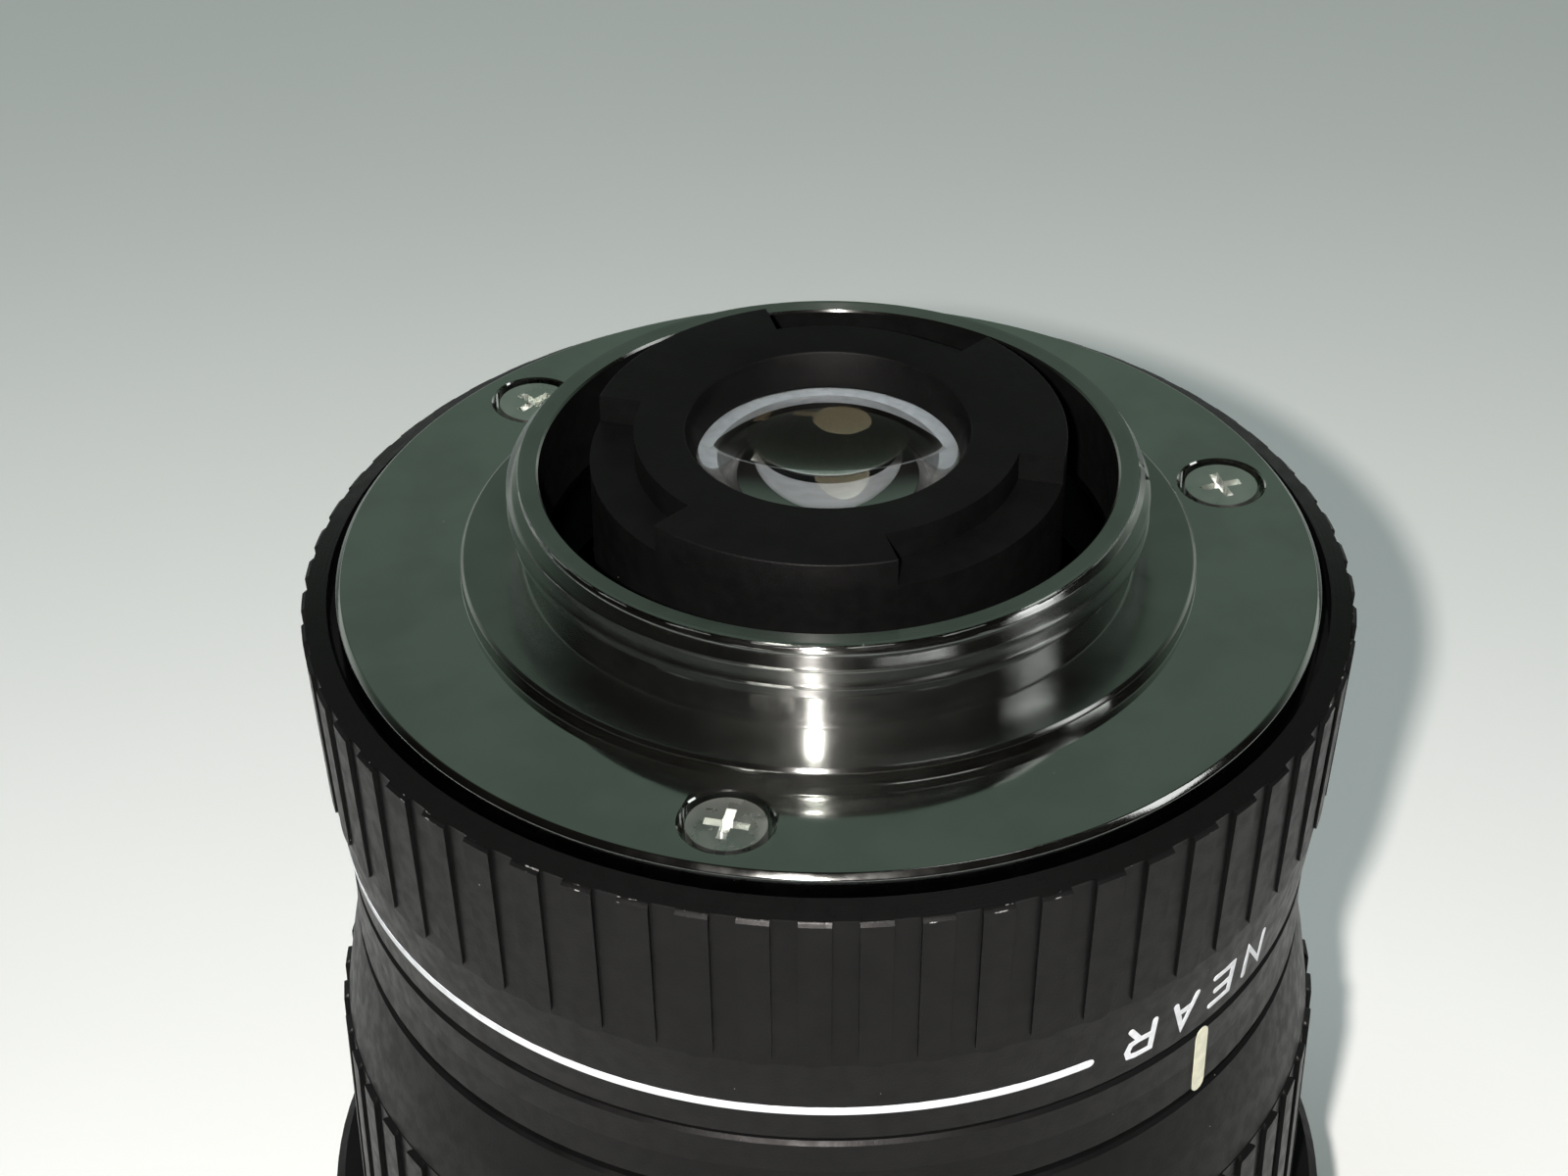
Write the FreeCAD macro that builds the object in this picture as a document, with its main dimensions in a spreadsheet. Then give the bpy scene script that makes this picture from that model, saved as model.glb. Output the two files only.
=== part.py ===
import FreeCAD, Part
import math
import operator
import os

import Sketcher
from FreeCAD import Placement, Rotation, Vector

# A manual lens for a security camera, standing on its front rim with its threaded rear mount up.
# Z is the optical axis and rises from the front rim (Z = 0) to the mount. Millimetres and degrees.
# The focus ring turns and its helical grooves drive the rear lens group along Z; the iris ring turns
# a cam plate that swings five blades. At rest the focus is near and the iris is open.

SIZES = {
    # Mount plate and its 1 inch by 32 threads per inch collar
    "thread_radius": 12.7,
    "thread_run": 1.8,
    "neck_run": 1.35,
    "neck_relief": 0.5,
    "rim_chamfer": 0.65,
    "collar_wall": 1.29,
    "boss_ledge": 2.0,
    "boss_rise": 0.75,
    "plate_ledge": 5.0,
    "plate_chamfer": 0.21,
    "plate_thickness": 1.9,
    "spigot_length": 1.2,
    # Screws that hold the mount plate
    "screw_count": 3,
    "screw_azimuth": -103.2,
    "screw_inset": 2.6,
    "screw_shank_radius": 0.95,
    "screw_head_radius": 1.5,
    "screw_head_height": 0.8,
    "screw_head_sink": 0.1,
    "screw_cross_length": 1.7,
    "screw_cross_width": 0.38,
    "screw_cross_depth": 0.5,
    "screw_hole_gap": 0.05,
    "screw_head_gap": 0.28,
    "screw_grip": 2.4,
    # Focus ring
    "focus_ring_gap": 0.4,
    "focus_lip": 1.04,
    "focus_top_slope": 0.35,
    "focus_rib_height": 7.3,
    "focus_rib_taper": 0.4,
    "focus_band_step": 0.14,
    "focus_band_height": 4.4,
    "focus_plate_cover": 1.25,
    "focus_flange_gap": 0.1,
    "focus_end_gap": 0.15,
    "rib_count": 60,
    "rib_groove_width": 1.0,
    "rib_corner": 0.4,
    "rib_floor_rise": 0.03,
    "focus_rib_proud": 0.2,
    "focus_rib_azimuth": 0.9,
    "edge_break": 0.15,
    # Focus drive
    "focus_turn": 150.0,
    "focus_travel": 3.0,
    "guide_count": 3,
    "guide_offset": 60.0,
    "guide_pin_radius": 0.8,
    "guide_pin_rise": 1.45,
    "guide_pin_seat": 1.5,
    "guide_groove_depth": 1.2,
    "guide_gap": 0.12,
    "guide_overrun": 1.0,
    # Main barrel
    "waist_outset": 0.4,
    "flange_inset": 1.1,
    "flange_thickness": 3.15,
    "journal_inset": 2.3,
    "journal_step": 0.4,
    "barrel_wall": 2.0,
    "barrel_front_wall": 1.4,
    "shoulder_thickness": 1.2,
    "shoulder_width": 2.8,
    "shoulder_drop": 0.15,
    "turning_gap": 0.1,
    "seat_gap": 0.03,
    # Index ring
    "index_height": 3.15,
    "index_waist": 0.05,
    "index_break": 0.15,
    # Iris ring
    "iris_turn": 60.0,
    "iris_parting": 0.35,
    "iris_hub_gap": 0.1,
    "iris_hub_wall": 1.6,
    "iris_neck_height": 5.1,
    "iris_flare": 0.8,
    "iris_flare_bow": 0.36,
    "iris_rib_height": 10.35,
    "iris_rib_rise": 0.25,
    "iris_foot_height": 0.9,
    "iris_foot_taper": 0.3,
    "iris_rib_azimuth": 3.0,
    # Iris drive pin and cam plate
    "drive_azimuth": 100.0,
    "drive_pin_radius": 0.6,
    "drive_pin_seat": 2.2,
    "drive_pin_reach": 1.0,
    "drive_gap": 0.15,
    "cam_thickness": 1.6,
    "cam_inner_width": 7.4,
    "cam_outer_gap": 0.12,
    "cam_slot_gap": 0.12,
    # Iris base and blades
    "blade_count": 5,
    "blade_turn": 34.0,
    "blade_thickness": 0.15,
    "blade_pitch": 0.2,
    "blade_span": 128.0,
    "iris_base_width": 8.0,
    "blade_width": 3.7,
    "pivot_ledge": 0.9,
    "pivot_arm": 2.2,
    "pivot_lug_radius": 0.75,
    "blade_pin_radius": 0.4,
    "pivot_hole_gap": 0.06,
    "base_thickness": 1.2,
    "base_rim_width": 1.1,
    "iris_level_gap": 0.05,
    "iris_retainer_height": 1.5,
    "iris_retainer_width": 6.6,
    # Rear lens group, which slides
    "holder_proud": 1.56,
    "rear_gap": 2.05,
    "holder_skirt": 0.92,
    "holder_height": 5.4,
    "holder_lip_depth": 1.9,
    "holder_opening_radius": 5.6,
    "holder_aperture_radius": 4.7,
    "holder_aperture_land": 0.35,
    "notch_count": 3,
    "notch_azimuth": -44.8,
    "notch_angle": 60.0,
    "notch_width": 1.76,
    "notch_depth": 1.2,
    "holder_break": 0.12,
    "skirt_gap": 0.04,
    "cell_drop": 0.3,
    "cell_wall": 1.35,
    "glass_gap": 0.05,
    "carriage_length": 5.2,
    "carriage_gap": 0.1,
    "carriage_front_wall": 5.2,
    "doublet_seat_width": 0.9,
    "doublet_seat_thickness": 0.8,
    "doublet_seat_land": 0.8,
    "crown_thickness": 3.6,
    "flint_thickness": 1.6,
    "crown_front_curve": 30.0,
    "cement_curve": 18.0,
    "flint_rear_curve": 60.0,
    "cement_gap": 0.02,
    "rear_glass_edge": 1.4,
    "rear_glass_front_curve": 40.0,
    "rear_glass_rear_curve": 14.0,
    "spacer_width": 1.3,
    # Front barrel and front lens group
    "front_length": 14.4,
    "filter_radius": 20.0,
    "front_wall": 2.5,
    "filter_depth": 4.6,
    "filter_mouth": 0.4,
    "front_edge_break": 0.5,
    "front_rear_break": 0.4,
    "baffle_step": 1.5,
    "front_screw_depth": 2.9,
    "front_seat_thickness": 1.0,
    "front_seat_width": 1.7,
    "front_glass_edge": 2.2,
    "front_glass_inset": 1.1,
    "front_glass_front_curve": 46.0,
    "front_glass_rear_curve": 90.0,
    "front_retainer_height": 1.5,
    "front_retainer_outset": 0.7,
    "front_retainer_lap": 1.2,
    "spanner_slot_count": 2,
    "spanner_slot_width": 1.2,
    "spanner_slot_depth": 0.7,
    "front_cell_wall": 3.5,
    "second_glass_edge": 1.5,
    "second_glass_front_curve": 60.0,
    "second_glass_rear_curve": 40.0,
    "second_seat_width": 1.2,
    "second_seat_rise": 4.1,
    "cell_retainer_height": 1.6,
    "cell_retainer_lap": 1.2,
}

FULL_TURN = 360
OPERATIONS = {"+": operator.add, "-": operator.sub, "*": operator.mul, "/": operator.truediv}

doc = FreeCAD.newDocument("security_camera_lens")
sheet = doc.addObject("Spreadsheet::Sheet", "Sizes")
for row, (alias, value) in enumerate(SIZES.items(), 1):
    sheet.set(f"A{row}", alias)
    sheet.set(f"B{row}", str(value))
    sheet.setAlias(f"B{row}", alias)
doc.recompute()


class Size:
    """A dimension: the number it has now and the formula that the document keeps for it."""

    def __init__(self, number, formula):
        self.number = number
        self.formula = formula

    def combined(self, sign, other, swapped=False):
        if not isinstance(other, Size):
            other = Size(other, repr(other))
        first, second = (other, self) if swapped else (self, other)
        number = OPERATIONS[sign](first.number, second.number)
        return Size(number, f"({first.formula} {sign} {second.formula})")

    def __add__(self, other):
        return self.combined("+", other)

    def __radd__(self, other):
        return self.combined("+", other, True)

    def __sub__(self, other):
        return self.combined("-", other)

    def __rsub__(self, other):
        return self.combined("-", other, True)

    def __mul__(self, other):
        return self.combined("*", other)

    def __rmul__(self, other):
        return self.combined("*", other, True)

    def __truediv__(self, other):
        return self.combined("/", other)

    def __neg__(self):
        return self.combined("*", -1.0)


class Sheet:
    """Gives each sheet cell as a Size, by its alias."""

    def __getattr__(self, alias):
        return Size(sheet.get(alias), f"Sizes.{alias}")


size = Sheet()
ZERO = Size(0.0, "0")
ONE = Size(1.0, "1")


def root(value):
    return Size(math.sqrt(value.number), f"sqrt({value.formula})")


def sag(curve, radius):
    """How far a sphere of radius curve falls away from its pole at the given distance from the axis."""
    return curve - root(curve * curve - radius * radius)


def plane(body, role):
    for feature in body.Origin.OriginFeatures:
        if feature.Role == role:
            return feature
    raise LookupError(role)


def hold(sketch, geometry, point, across, up):
    """Fixes one point of the sketch at its two distances from the sketch's origin."""
    for kind, distance in (("DistanceX", across), ("DistanceY", up)):
        index = sketch.addConstraint(Sketcher.Constraint(kind, geometry, point, distance.number))
        sketch.setExpression(f"Constraints[{index}]", distance.formula)


def new_body(name, azimuth=ZERO):
    """A body whose own X axis points at the given azimuth about the optical axis."""
    body = doc.addObject("PartDesign::Body", name)
    body.Label = name
    body.Placement = Placement(Vector(), Rotation(Vector(0, 0, 1), azimuth.number))
    body.setExpression("Placement.Rotation.Angle", f"({azimuth.formula}) * 1 deg")
    return body


def new_sketch(body, name, role, azimuth=ZERO, offset=ZERO, tilt=ZERO):
    """A sketch on one of the body's planes, turned about its own up axis and moved off along its normal."""
    sketch = body.newObject("Sketcher::SketchObject", name)
    sketch.AttachmentSupport = [(plane(body, role), "")]
    sketch.MapMode = "FlatFace"
    turn = Rotation(Vector(0, 1, 0), azimuth.number) * Rotation(Vector(1, 0, 0), tilt.number)
    sketch.AttachmentOffset = Placement(turn.multVec(Vector(0, 0, offset.number)), turn)
    return sketch


def draw_outline(sketch, corners):
    """A closed outline of straight lines through corners given as (across, up)."""
    points = [Vector(across.number, up.number, 0) for across, up in corners]
    for index, point in enumerate(points):
        sketch.addGeometry(Part.LineSegment(point, points[(index + 1) % len(points)]), False)
    for index in range(len(points)):
        following = (index + 1) % len(points)
        sketch.addConstraint(Sketcher.Constraint("Coincident", index, 2, following, 1))
    for index, (across, up) in enumerate(corners):
        hold(sketch, index, 1, across, up)


def draw_circle(sketch, across, up, radius):
    circle = Part.Circle(Vector(across.number, up.number, 0), Vector(0, 0, 1), radius.number)
    index = sketch.addGeometry(circle, False)
    hold(sketch, index, 3, across, up)
    constraint = sketch.addConstraint(Sketcher.Constraint("Radius", index, radius.number))
    sketch.setExpression(f"Constraints[{constraint}]", radius.formula)


def draw_upright_slot(sketch, low, high, half_width):
    """A slot along the sketch's up axis with round ends centred at heights low and high."""
    upper = Part.Circle(Vector(0, high.number, 0), Vector(0, 0, 1), half_width.number)
    lower = Part.Circle(Vector(0, low.number, 0), Vector(0, 0, 1), half_width.number)
    right = Vector(half_width.number, 0, 0)
    top = sketch.addGeometry(Part.ArcOfCircle(upper, 0, math.pi), False)
    bottom = sketch.addGeometry(Part.ArcOfCircle(lower, math.pi, 2 * math.pi), False)
    left_side = sketch.addGeometry(Part.LineSegment(upper.Center - right, lower.Center - right), False)
    right_side = sketch.addGeometry(Part.LineSegment(lower.Center + right, upper.Center + right), False)
    for first, first_end, second, second_end in (
        (top, 2, left_side, 1),
        (left_side, 2, bottom, 1),
        (bottom, 2, right_side, 1),
        (right_side, 2, top, 1),
    ):
        sketch.addConstraint(Sketcher.Constraint("Tangent", first, first_end, second, second_end))
    hold(sketch, top, 3, ZERO, high)
    hold(sketch, bottom, 3, ZERO, low)
    constraint = sketch.addConstraint(Sketcher.Constraint("Radius", top, half_width.number))
    sketch.setExpression(f"Constraints[{constraint}]", half_width.formula)


def draw_flared_slot(sketch, half_width, corner, mouth, far, way):
    """An upright slot that widens at its mouth by a quarter circle on each side; way is 1 for mouth down."""
    wide = half_width + corner
    outside = mouth - corner * way
    shoulder = mouth + corner * way
    corners = [
        (-wide, mouth),
        (-wide, outside),
        (wide, outside),
        (wide, mouth),
        (half_width, shoulder),
        (half_width, far),
        (-half_width, far),
        (-half_width, shoulder),
    ]
    points = [Vector(across.number, up.number, 0) for across, up in corners]
    lines = {}
    for index in (0, 1, 2, 4, 5, 6):
        lines[index] = sketch.addGeometry(Part.LineSegment(points[index], points[index + 1]), False)
        hold(sketch, lines[index], 1, *corners[index])
    for side, line_before, line_after in ((1, 2, 4), (-1, 6, 0)):
        circle = Part.Circle(Vector(side * wide.number, shoulder.number, 0), Vector(0, 0, 1), corner.number)
        start = math.pi if side == 1 else 3 * math.pi / 2
        if way == -1:
            start = math.pi / 2 if side == 1 else 0
        arc = sketch.addGeometry(Part.ArcOfCircle(circle, start, start + math.pi / 2), False)
        shoulder_end, mouth_end = (1, 2) if side == way else (2, 1)
        first, last = (mouth_end, shoulder_end) if side == 1 else (shoulder_end, mouth_end)
        sketch.addConstraint(Sketcher.Constraint("Coincident", lines[line_before], 2, arc, first))
        sketch.addConstraint(Sketcher.Constraint("Coincident", arc, last, lines[line_after], 1))
        hold(sketch, arc, 3, wide * side, shoulder)
    for index in (0, 1, 4, 5):
        sketch.addConstraint(Sketcher.Constraint("Coincident", lines[index], 2, lines[index + 1], 1))


def feature(body, kind, name, sketch):
    made = body.newObject(f"PartDesign::{kind}", name)
    made.Profile = sketch
    sketch.Visibility = False
    return made


def turned(body, name, corners):
    """Turns a closed outline of (radius, height) corners about the optical axis."""
    sketch = new_sketch(body, f"{name}_outline", "XZ_Plane")
    draw_outline(sketch, corners)
    turn = feature(body, "Revolution", f"{name}_turned", sketch)
    turn.ReferenceAxis = (sketch, ["V_Axis"])
    turn.Angle = FULL_TURN
    body.Tip = turn
    return turn


def turned_cut(body, name, corners, angle, azimuth=ZERO):
    """Cuts a closed outline swept through an angle about the optical axis, centred at an azimuth."""
    sketch = new_sketch(body, f"{name}_section", "XZ_Plane", azimuth)
    draw_outline(sketch, corners)
    cut = feature(body, "Groove", name, sketch)
    cut.ReferenceAxis = (sketch, ["V_Axis"])
    cut.setExpression("Angle", angle.formula)
    cut.Midplane = True
    body.Tip = cut
    return cut


def cut_along(body, name, sketch, length, outwards):
    """A pocket of the given length, along the sketch's normal or against it."""
    pocket = feature(body, "Pocket", name, sketch)
    pocket.Type = "Length"
    pocket.setExpression("Length", length.formula)
    pocket.Reversed = outwards
    body.Tip = pocket
    return pocket


def repeated(body, name, features, count):
    """Repeats features evenly around the optical axis."""
    pattern = body.newObject("PartDesign::PolarPattern", name)
    pattern.Originals = features
    pattern.Axis = (plane(body, "Z_Axis"), [""])
    pattern.Angle = FULL_TURN
    pattern.setExpression("Occurrences", count.formula)
    body.Tip = pattern
    return pattern


def cylinder(name, radius, height, base, across=ZERO, angle=None):
    """An upright cylinder at (across, 0), or the part of it from azimuth 0 to an angle."""
    made = doc.addObject("Part::Cylinder", name)
    made.setExpression("Radius", radius.formula)
    made.setExpression("Height", height.formula)
    made.setExpression("Placement.Base.x", across.formula)
    made.setExpression("Placement.Base.z", base.formula)
    if angle is not None:
        made.setExpression("Angle", angle.formula)
    return made


def sphere(name, radius, centre):
    made = doc.addObject("Part::Sphere", name)
    made.setExpression("Radius", radius.formula)
    made.setExpression("Placement.Base.z", centre.formula)
    return made


def lens(name, radius, front, rear, front_curve, rear_curve, front_hollow=False):
    """A glass element between its two poles; curves bulge outwards, or the front one inwards."""
    blank_height = rear - front
    low = front
    if front_hollow:
        low = front - sag(front_curve, radius)
        blank_height = rear - low
    blank = cylinder(f"{name}_blank", radius, blank_height, low)
    rear_ball = sphere(f"{name}_rear_ball", rear_curve, rear - rear_curve)
    front_centre = front - front_curve if front_hollow else front + front_curve
    front_ball = sphere(f"{name}_front_ball", front_curve, front_centre)
    ground = doc.addObject("Part::MultiCommon", f"{name}_ground")
    if front_hollow:
        ground.Shapes = [blank, rear_ball]
        made = doc.addObject("Part::Cut", name)
        made.Base = ground
        made.Tool = front_ball
    else:
        ground.Shapes = [blank, rear_ball]
        made = doc.addObject("Part::MultiCommon", name)
        made.Shapes = [ground, front_ball]
    made.Label = name
    return made


# Radii that several pieces share, outwards and inwards from the mount thread
boss_radius = size.thread_radius + size.boss_ledge
plate_radius = boss_radius + size.plate_ledge
collar_bore = size.thread_radius - size.collar_wall
holder_radius = collar_bore - size.rear_gap
cell_radius = holder_radius - size.holder_skirt - size.skirt_gap
cell_bore = cell_radius - size.cell_wall
rear_glass_radius = cell_bore - size.glass_gap
flange_radius = plate_radius - size.flange_inset
journal_radius = plate_radius - size.journal_inset
front_journal_radius = journal_radius - size.journal_step
barrel_bore = journal_radius - size.barrel_wall
front_bore = front_journal_radius - size.barrel_front_wall
screw_circle = plate_radius - size.screw_inset
waist_radius = plate_radius + size.waist_outset
focus_crest = plate_radius + size.focus_ring_gap + size.focus_lip
focus_crest_foot = focus_crest - size.focus_rib_taper
focus_band_radius = focus_crest_foot - size.focus_band_step
iris_flare_radius = waist_radius + size.iris_flare
iris_crest = iris_flare_radius + size.iris_rib_rise
front_radius = size.filter_radius + size.front_wall

# Heights that several pieces share, upwards from the front rim
iris_foot = size.front_length + size.iris_parting
iris_rib_foot = iris_foot + size.iris_foot_height
iris_rib_head = iris_rib_foot + size.iris_rib_height
iris_head = iris_rib_head + size.iris_neck_height
index_foot = iris_head + size.iris_parting
index_head = index_foot + size.index_height
focus_foot = index_head + size.focus_end_gap
focus_rib_foot = focus_foot + size.focus_band_height
focus_rib_head = focus_rib_foot + size.focus_rib_height
focus_head = focus_rib_head + size.focus_top_slope
plate_seat = focus_head - size.focus_plate_cover
plate_face = plate_seat + size.plate_thickness
mount_seat = plate_face + size.boss_rise
thread_foot = mount_seat + size.neck_run
thread_head = thread_foot + size.thread_run
mount_rim = thread_head + size.rim_chamfer
flange_foot = plate_seat - size.flange_thickness
guide_height = focus_foot + size.guide_pin_rise
iris_seat = index_foot - size.shoulder_drop - size.shoulder_thickness
base_foot = iris_seat - size.base_thickness
blade_stack = size.blade_count * size.blade_pitch + size.iris_level_gap
cam_head = base_foot - blade_stack - size.iris_level_gap
cam_foot = cam_head - size.cam_thickness
iris_retainer_head = cam_foot - size.iris_level_gap
iris_retainer_foot = iris_retainer_head - size.iris_retainer_height
drive_height = cam_head - size.cam_thickness / 2
holder_head = mount_rim + size.holder_proud
barrel_foot = size.front_length - size.front_screw_depth
guide_azimuth = size.screw_azimuth + size.guide_offset

# Glass elements: their edges and the poles of their surfaces, from the seats that carry them
holder_lip = holder_head - size.holder_lip_depth
rear_glass_rear = holder_lip + sag(size.rear_glass_rear_curve, size.holder_aperture_radius) - size.glass_gap
rear_glass_edge_foot = (rear_glass_rear - sag(size.rear_glass_rear_curve, rear_glass_radius)
                        - size.rear_glass_edge)
rear_glass_front = rear_glass_edge_foot - sag(size.rear_glass_front_curve, rear_glass_radius)
spacer_bore = rear_glass_radius - size.spacer_width
carriage_radius = barrel_bore - size.carriage_gap
carriage_foot = guide_height - size.carriage_length / 2
carriage_head = carriage_foot + size.carriage_length
doublet_seat = carriage_head - size.doublet_seat_thickness
doublet_aperture = cell_bore - size.doublet_seat_width
crown_front = doublet_seat - sag(size.crown_front_curve, doublet_aperture) + size.glass_gap
crown_rear = crown_front + size.crown_thickness
flint_front = crown_rear + size.cement_gap
flint_rear = flint_front + size.flint_thickness
front_glass_radius = front_journal_radius - size.front_glass_inset
front_seat_bore = front_glass_radius - size.front_seat_width
front_seat = barrel_foot - size.front_seat_thickness
front_glass_rear = front_seat + sag(size.front_glass_rear_curve, front_seat_bore) - size.glass_gap
front_glass_front = (front_glass_rear - sag(size.front_glass_rear_curve, front_glass_radius)
                     - size.front_glass_edge - sag(size.front_glass_front_curve, front_glass_radius))
front_retainer_bore = front_glass_radius - size.front_retainer_lap
front_retainer_head = (front_glass_front + sag(size.front_glass_front_curve, front_retainer_bore)
                       - size.glass_gap)
front_retainer_foot = front_retainer_head - size.front_retainer_height
front_cell_radius = front_bore - size.seat_gap
front_cell_foot = barrel_foot + size.iris_level_gap
front_cell_head = iris_retainer_foot - size.iris_level_gap
second_bore = front_cell_radius - size.front_cell_wall
second_glass_radius = second_bore - size.glass_gap
second_seat = front_cell_head - size.second_seat_rise
second_aperture = second_bore - size.second_seat_width
second_glass_rear = second_seat + sag(size.second_glass_rear_curve, second_aperture) - size.glass_gap
second_glass_front = (second_glass_rear - sag(size.second_glass_rear_curve, second_glass_radius)
                      - size.second_glass_edge
                      - sag(size.second_glass_front_curve, second_glass_radius))
cell_retainer_bore = second_glass_radius - size.cell_retainer_lap
cell_retainer_head = (second_glass_front + sag(size.second_glass_front_curve, cell_retainer_bore)
                      - size.glass_gap)

# Pivot circle of the iris blades: just outside the reach of the blades that lie open
iris_opening = front_bore - size.iris_base_width
blade_outer_radius = iris_opening + size.blade_width
pivot_circle = blade_outer_radius + size.pivot_ledge


def build_mount_plate():
    """Chromed plate, boss and collar in one turned piece; the thread starts below the rim's chamfer."""
    body = new_body("mount_plate", size.screw_azimuth)
    neck_radius = size.thread_radius - size.neck_relief
    spigot_radius = barrel_bore - size.seat_gap
    turned(body, "mount_plate", [
        (collar_bore, plate_seat - size.spigot_length),
        (spigot_radius, plate_seat - size.spigot_length),
        (spigot_radius, plate_seat),
        (plate_radius, plate_seat),
        (plate_radius, plate_face - size.plate_chamfer),
        (plate_radius - size.plate_chamfer, plate_face),
        (boss_radius, plate_face),
        (boss_radius, mount_seat),
        (neck_radius, mount_seat),
        (neck_radius, thread_foot - size.neck_relief),
        (size.thread_radius, thread_foot),
        (size.thread_radius, thread_head),
        (size.thread_radius - size.rim_chamfer, mount_rim),
        (collar_bore, mount_rim),
    ])
    hole = new_sketch(body, "screw_hole_circle", "XY_Plane", offset=plate_seat)
    draw_circle(hole, screw_circle, ZERO, size.screw_shank_radius + size.screw_hole_gap)
    hole_cut = cut_along(body, "screw_hole", hole, size.plate_thickness, True)
    head_floor = plate_face - size.screw_head_sink - size.screw_head_height
    counterbore = new_sketch(body, "counterbore_circle", "XY_Plane", offset=head_floor)
    draw_circle(counterbore, screw_circle, ZERO, size.screw_head_radius + size.screw_head_gap)
    counterbore_cut = cut_along(body, "counterbore", counterbore, size.plate_thickness, True)
    repeated(body, "screw_places", [hole_cut, counterbore_cut], size.screw_count)
    return body


def build_mount_screws():
    """Three pan-head screws with cross recesses, in the plate's counterbores."""
    body = new_body("mount_screws", size.screw_azimuth)
    body.AllowCompound = True
    head_floor = plate_face - size.screw_head_sink - size.screw_head_height
    shank_foot = plate_seat - size.screw_grip
    shank = new_sketch(body, "shank_circle", "XY_Plane", offset=shank_foot)
    draw_circle(shank, screw_circle, ZERO, size.screw_shank_radius)
    shank_pad = feature(body, "Pad", "shank", shank)
    shank_pad.setExpression("Length", (head_floor - shank_foot).formula)
    head = new_sketch(body, "head_circle", "XY_Plane", offset=head_floor)
    draw_circle(head, screw_circle, ZERO, size.screw_head_radius)
    head_pad = feature(body, "Pad", "head", head)
    head_pad.setExpression("Length", size.screw_head_height.formula)
    reach = size.screw_cross_length / 2
    half = size.screw_cross_width / 2
    recess_floor = head_floor + size.screw_head_height - size.screw_cross_depth
    cross = new_sketch(body, "cross_outline", "XY_Plane", offset=recess_floor)
    quarter = [(half, half), (half, reach), (-half, reach), (-half, half)]
    corners = []
    for turn in range(4):
        for across, up in quarter:
            for _ in range(turn):
                across, up = -up, across
            corners.append((screw_circle + across, up))
    draw_outline(cross, [corner for index, corner in enumerate(corners) if index % 4])
    cross_cut = cut_along(body, "cross_recess", cross, size.screw_head_height, True)
    repeated(body, "screws", [shank_pad, head_pad, cross_cut], size.screw_count)
    return body


def build_main_barrel():
    """The fixed tube: rear flange for the plate, journals for both rings, and the iris seat inside."""
    body = new_body("main_barrel", size.screw_azimuth)
    shoulder_bore = barrel_bore - size.shoulder_width
    turned(body, "main_barrel", [
        (front_bore, barrel_foot),
        (front_journal_radius, barrel_foot),
        (front_journal_radius, index_head),
        (journal_radius, index_head),
        (journal_radius, flange_foot),
        (flange_radius, flange_foot),
        (flange_radius, plate_seat),
        (barrel_bore, plate_seat),
        (barrel_bore, iris_seat + size.shoulder_thickness),
        (shoulder_bore, iris_seat + size.shoulder_thickness),
        (shoulder_bore, iris_seat),
        (front_bore, iris_seat),
    ])
    hole = new_sketch(body, "tapped_hole_circle", "XY_Plane", offset=plate_seat)
    draw_circle(hole, screw_circle, ZERO, size.screw_shank_radius + size.screw_hole_gap)
    hole_cut = cut_along(body, "tapped_hole", hole, size.screw_grip + size.edge_break, False)
    repeated(body, "tapped_holes", [hole_cut], size.screw_count)
    slot = new_sketch(body, "guide_slot_outline", "YZ_Plane", azimuth=size.guide_offset)
    draw_upright_slot(slot, guide_height, guide_height + size.focus_travel,
                      size.guide_pin_radius + size.guide_gap)
    slot_cut = cut_along(body, "guide_slot", slot, flange_radius, True)
    repeated(body, "guide_slots", [slot_cut], size.guide_count)
    half_height = size.drive_pin_radius + size.drive_gap
    slack = (half_height + size.drive_gap) / front_bore * Size(math.degrees(1), "180 / pi")
    turned_cut(body, "drive_slot", [
        (front_bore - size.drive_gap, drive_height - half_height),
        (journal_radius, drive_height - half_height),
        (journal_radius, drive_height + half_height),
        (front_bore - size.drive_gap, drive_height + half_height),
    ], size.iris_turn + slack * 2, size.drive_azimuth - size.iris_turn / 2 - size.screw_azimuth)
    return body


def build_index_ring():
    """The fixed ring between the two turning rings, slightly waisted, seated on the barrel's step."""
    body = new_body("index_ring")
    bore = front_journal_radius + size.seat_gap
    middle = (index_foot + index_head) / 2
    turned(body, "index_ring", [
        (bore, index_foot),
        (waist_radius - size.index_break, index_foot),
        (waist_radius, index_foot + size.index_break),
        (waist_radius - size.index_waist, middle),
        (waist_radius, index_head - size.index_break),
        (waist_radius - size.index_break, index_head),
        (bore, index_head),
    ])
    return body


def rib_grooves(body, name, mouth_radius, mouth, far_radius, far):
    """Cuts the grooves between the ribs, with flat floors; the ribs' corners are rounded at the mouth."""
    slope = (far_radius - mouth_radius) / (far - mouth)
    upright = ONE / root(slope * slope + 1)
    lean = slope * upright
    tilt = Size(math.degrees(math.atan(slope.number)), f"atan({slope.formula}) / 1 deg")
    sketch = new_sketch(body, f"{name}_outline", "YZ_Plane", tilt=tilt,
                        offset=mouth_radius * upright - mouth * lean)
    way = 1 if far.number > mouth.number else -1
    near_end = mouth_radius * lean + mouth * upright
    far_end = far_radius * lean + far * upright + size.rib_corner * way
    draw_flared_slot(sketch, size.rib_groove_width / 2, size.rib_corner, near_end, far_end, way)
    groove = cut_along(body, name, sketch, size.rib_groove_width, True)
    return repeated(body, f"{name}_round", [groove], size.rib_count)


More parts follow.
